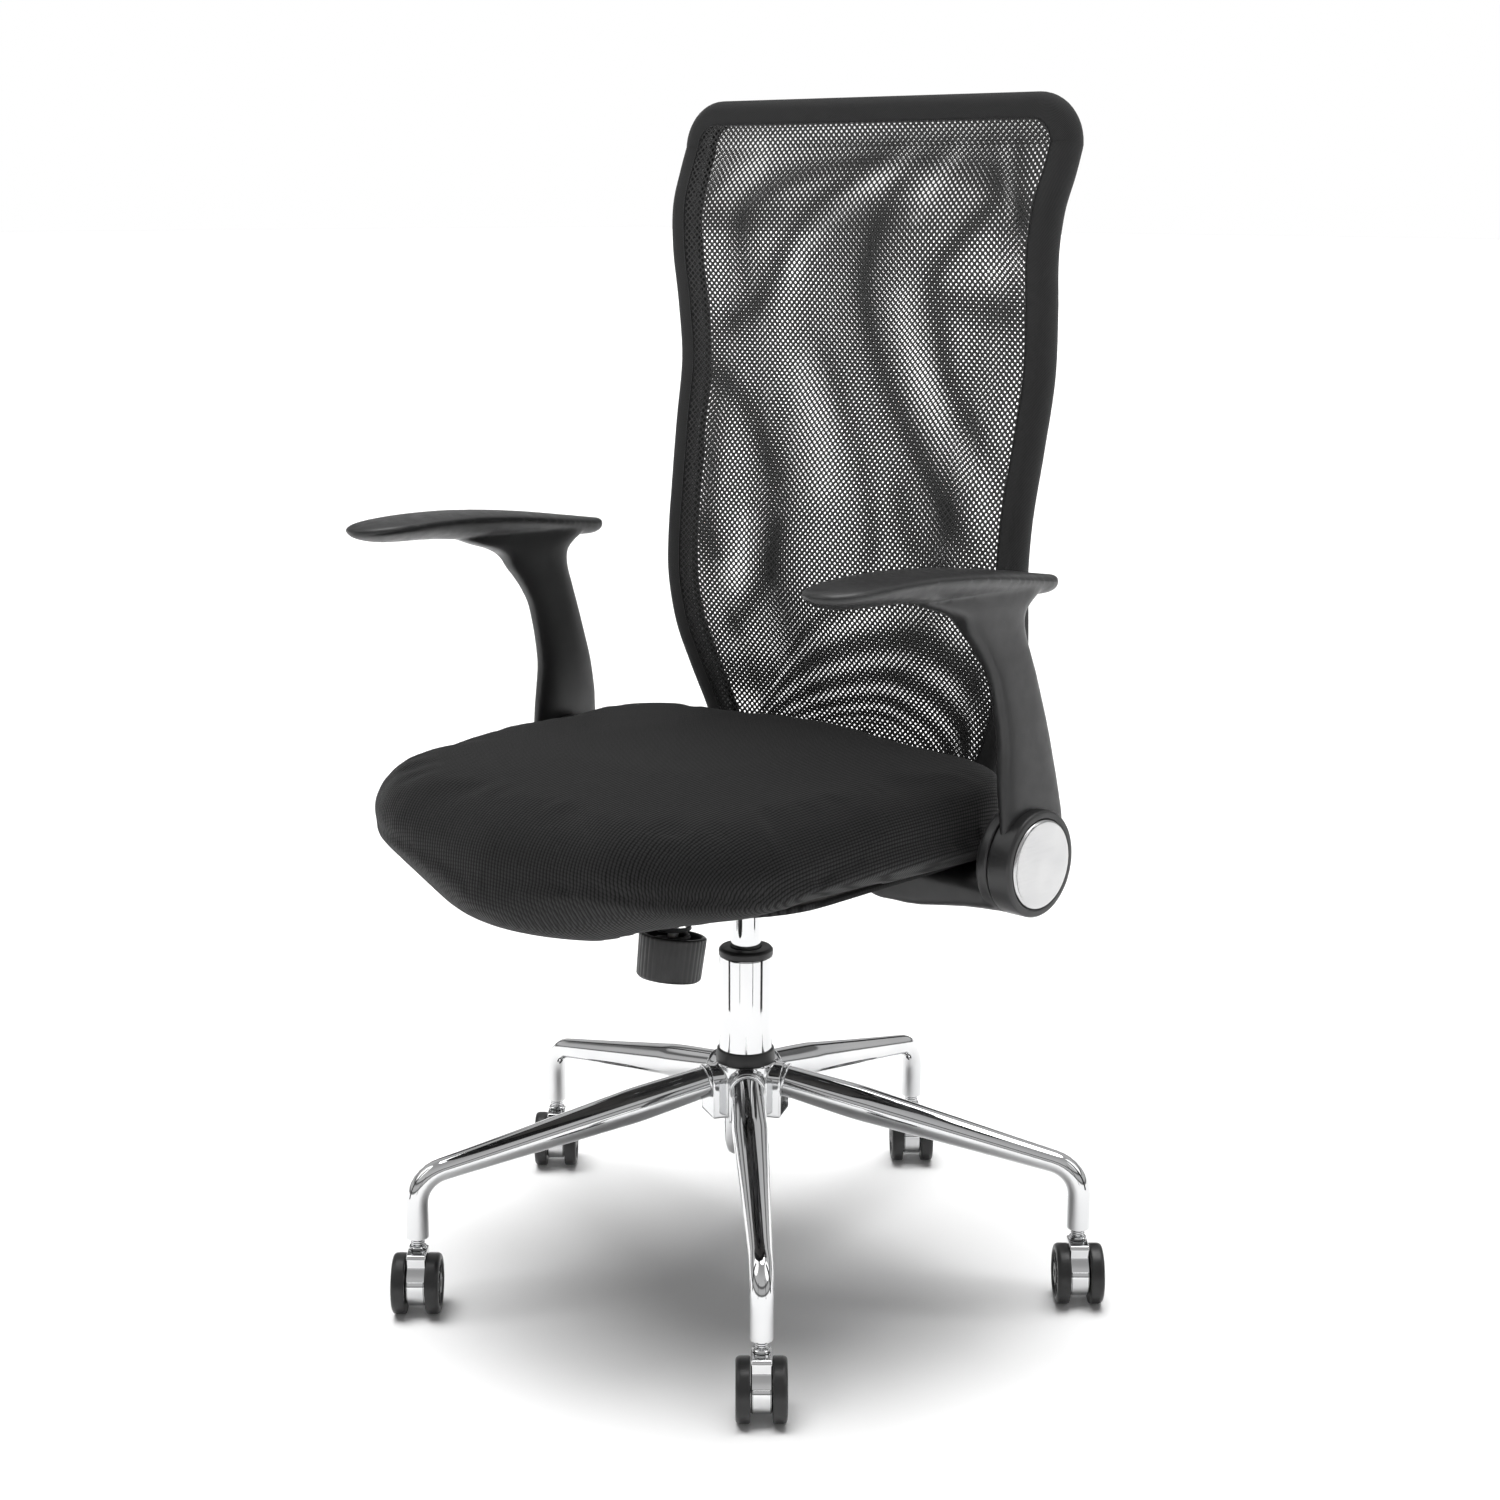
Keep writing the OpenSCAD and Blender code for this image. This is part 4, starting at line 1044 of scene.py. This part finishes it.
# bracket: a strap from under the seat that widens into a round ear beside the barrel
strap = []
for x, low, y0, y1, p in ((150.5, 396, -5, 15, 0.3), (153, 391.5, -7, 17, 0.25),
                          (162, 389.8, -7.5, 20, 0.25), (169, 389.2, -7.5, 32, 0.25),
                          (173, 389, -7.5, 60, 0.25), (178, 388.8, -7.5, 80, 0.25),
                          (192, 388.6, -7.5, 84, 0.27), (206, 389, -6.5, 85, 0.32),
                          (225, 390.6, -2, 85, 0.42), (245, 391.8, 3, 85, 0.55), (262, 392.4, 5, 84, 0.65),
                          (275, 392.6, 6, 82, 0.7)):
    cy, hy, cz, hz = (y0 + y1) / 2, (y1 - y0) / 2, (423.6 + low) / 2, (423.6 - low) / 2
    strap.append([(x, cy + hy * (abs(cos(a)) ** p) * (1 if cos(a) > 0 else -1),
                   cz + hz * (abs(sin(a)) ** p) * (1 if sin(a) > 0 else -1))
                  for a in np.linspace(0, 2 * pi, 48, endpoint=False)])
ear_part = moved(lathe([(40, 267.6), (44, 268.4), (46.2, 271), (46.5, 274), (46.5, 280.9)], 72),
                 Matrix.Translation((0, ARM_Y, ARM_Z)) @ Matrix.Rotation(pi / 2, 4, "Y"))
bracket_skin = merge([rings_to_mesh(strap), ear_part], 1.5, 5)
barrel_profile = rounded([(9.05, 281.45), (45.2, 281.45), (46.5, 283), (46.5, 302.4), (45.2, 304.2),
                          (40.6, 304.4), (39.15, 303.6), (39.15, 300.9),
                          (9.05, 300.9)], 1.4, 3)
cap_profile = rounded([(0.01, 300.95), (37.8, 300.95), (38.9, 301.6), (38.9, 304.5), (37.5, 306.1),
                       (34.5, 306.35), (0.01, 306.75)], 1.0, 4)
turn_x = Matrix.Rotation(pi / 2, 4, "Y")
for side, s in SIDES:
    mirror = Matrix.Diagonal((s, 1, 1, 1))
    skin = arm_skin.copy()
    skin.transform(mirror)
    if s < 0:
        skin.flip_normals()
    finish_piece(f"arm_shell_{side}", skin, ARM, f"arm_{side}", (f"arm_{side}",), 180)
    spin = mirror @ Matrix.Translation((0, ARM_Y * MM, ARM_Z * MM)) @ turn_x
    piece(f"arm_barrel_{side}", [lathe(barrel_profile, 96)], ARM, f"arm_{side}", (), spin,
          40)
    piece(f"arm_disc_{side}", [lathe(cap_profile, 96)], SATIN, f"arm_{side}",
          (f"arm_cap_{side}",), spin, 50)
    mesh = bracket_skin.copy()
    mesh.transform(mirror)
    if s < 0:
        mesh.flip_normals()
    finish_piece(f"bracket_{side}", mesh, ARM, "seat", (f"arm_bracket_{side}",), 180)


# ---- floor, light ----------------------------------------------------------------
b = bmesh.new()
bmesh.ops.create_grid(b, x_segments=2, y_segments=2, size=60)
floor_mesh = bpy.data.meshes.new("floor")
b.to_mesh(floor_mesh)
b.free()
floor = bpy.data.objects.new("floor", floor_mesh)
scene.collection.objects.link(floor)
floor_mesh.materials.append(floor_material())


def sun(name, azimuth, height, angle, strength):
    """A broad, far softbox: azimuth from the front towards the sitter's left, height in degrees."""
    data = bpy.data.lights.new(name, "SUN")
    data.energy, data.angle = strength, radians(angle)
    o = bpy.data.objects.new(name, data)
    scene.collection.objects.link(o)
    a, e = radians(azimuth), radians(height)
    toward = Vector((sin(a) * cos(e), -cos(a) * cos(e), sin(e)))
    o.matrix_world = toward.to_track_quat("Z", "Y").to_matrix().to_4x4()
    return o


def light_link(name, state, *lamps):
    """The lamps light the floor only (INCLUDE) or everything but the floor (EXCLUDE)."""
    group = bpy.data.collections.new(name)
    group.objects.link(floor)
    group.collection_objects[0].light_linking.link_state = state
    for lamp in lamps:
        lamp.light_linking.receiver_collection = group


sun("overhead", 185, 80, 40, 1.6)
front_left, right_rear = sun("front_left", -40, 48, 40, 0.5), sun("right_rear", 120, 40, 40, 0.5)
floor_top = sun("floor_top", -47, 80, 40, 2.9)
light_link("floor_only", "INCLUDE", floor_top)
light_link("no_floor", "EXCLUDE", front_left, right_rear)

# dark cards that only the chrome sees
for azimuth, distance, width, height in ((-30, 1.0, 0.16, 1.3), (18, 1.3, 0.05, 0.7), (72, 1.2, 0.06, 0.8),
                                         (112, 1.0, 0.2, 1.3),
                                         (200, 1.2, 0.16, 1.2), (255, 1.2, 0.12, 1.2)):
    a = radians(azimuth)
    b = bmesh.new()
    bmesh.ops.create_grid(b, x_segments=1, y_segments=1, size=0.5)
    b.transform(Matrix.Translation((distance * sin(a), -distance * cos(a), height / 2))
                @ Matrix.Rotation(a, 4, "Z")
                @ Matrix.Rotation(pi / 2, 4, "X") @ Matrix.Diagonal((width, height, 1, 1)))
    mesh = bpy.data.meshes.new("card")
    b.to_mesh(mesh)
    b.free()
    card = bpy.data.objects.new("card", mesh)
    scene.collection.objects.link(card)
    mesh.materials.append(COAT)
    card.visible_camera = card.visible_diffuse = card.visible_shadow = card.visible_transmission = False

world = bpy.data.worlds.new("studio")
scene.world = world
world.use_nodes = True
wn, wl = world.node_tree.nodes, world.node_tree.links
wn.clear()


def background(level):
    node = wn.new("ShaderNodeBackground")
    node.inputs[0].default_value = (1, 1, 1, 1)
    node.inputs[1].default_value = level
    return node


out, path = wn.new("ShaderNodeOutputWorld"), wn.new("ShaderNodeLightPath")
FILL = 0.18  # what the shadows get
seen, fill, studio = background(1.0), background(FILL), background(1.0)
# what the chrome reflects: a bright studio with dark gaps between its softboxes
coord, split = wn.new("ShaderNodeTexCoord"), wn.new("ShaderNodeSeparateXYZ")
ramp = wn.new("ShaderNodeValToRGB")
wl.new(coord.outputs["Generated"], split.inputs[0])
wl.new(split.outputs[2], ramp.inputs[0])
stops = ((0.0, 0.55), (0.03, 0.3), (0.07, 0.12), (0.1, 0.55), (0.2, 0.62), (0.3, 0.55), (0.34, 0.16),
         (0.4, 0.16), (0.44, 0.65), (0.7, 0.6), (1.0, 0.4))
ramp.color_ramp.elements[0].position, ramp.color_ramp.elements[1].position = stops[0][0], stops[-1][0]
ramp.color_ramp.elements[0].color = (stops[0][1],) * 3 + (1,)
ramp.color_ramp.elements[1].color = (stops[-1][1],) * 3 + (1,)
for position, level in stops[1:-1]:
    e = ramp.color_ramp.elements.new(position)
    e.color = (level, level, level, 1)
wl.new(ramp.outputs[0], studio.inputs[0])
pick, view = wn.new("ShaderNodeMixShader"), wn.new("ShaderNodeMixShader")
wl.new(path.outputs["Is Glossy Ray"], pick.inputs[0])
wl.new(fill.outputs[0], pick.inputs[1])
wl.new(studio.outputs[0], pick.inputs[2])
wl.new(path.outputs["Is Camera Ray"], view.inputs[0])
wl.new(pick.outputs[0], view.inputs[1])
wl.new(seen.outputs[0], view.inputs[2])
wl.new(view.outputs[0], out.inputs[0])
scene.view_settings.view_transform = "Standard"
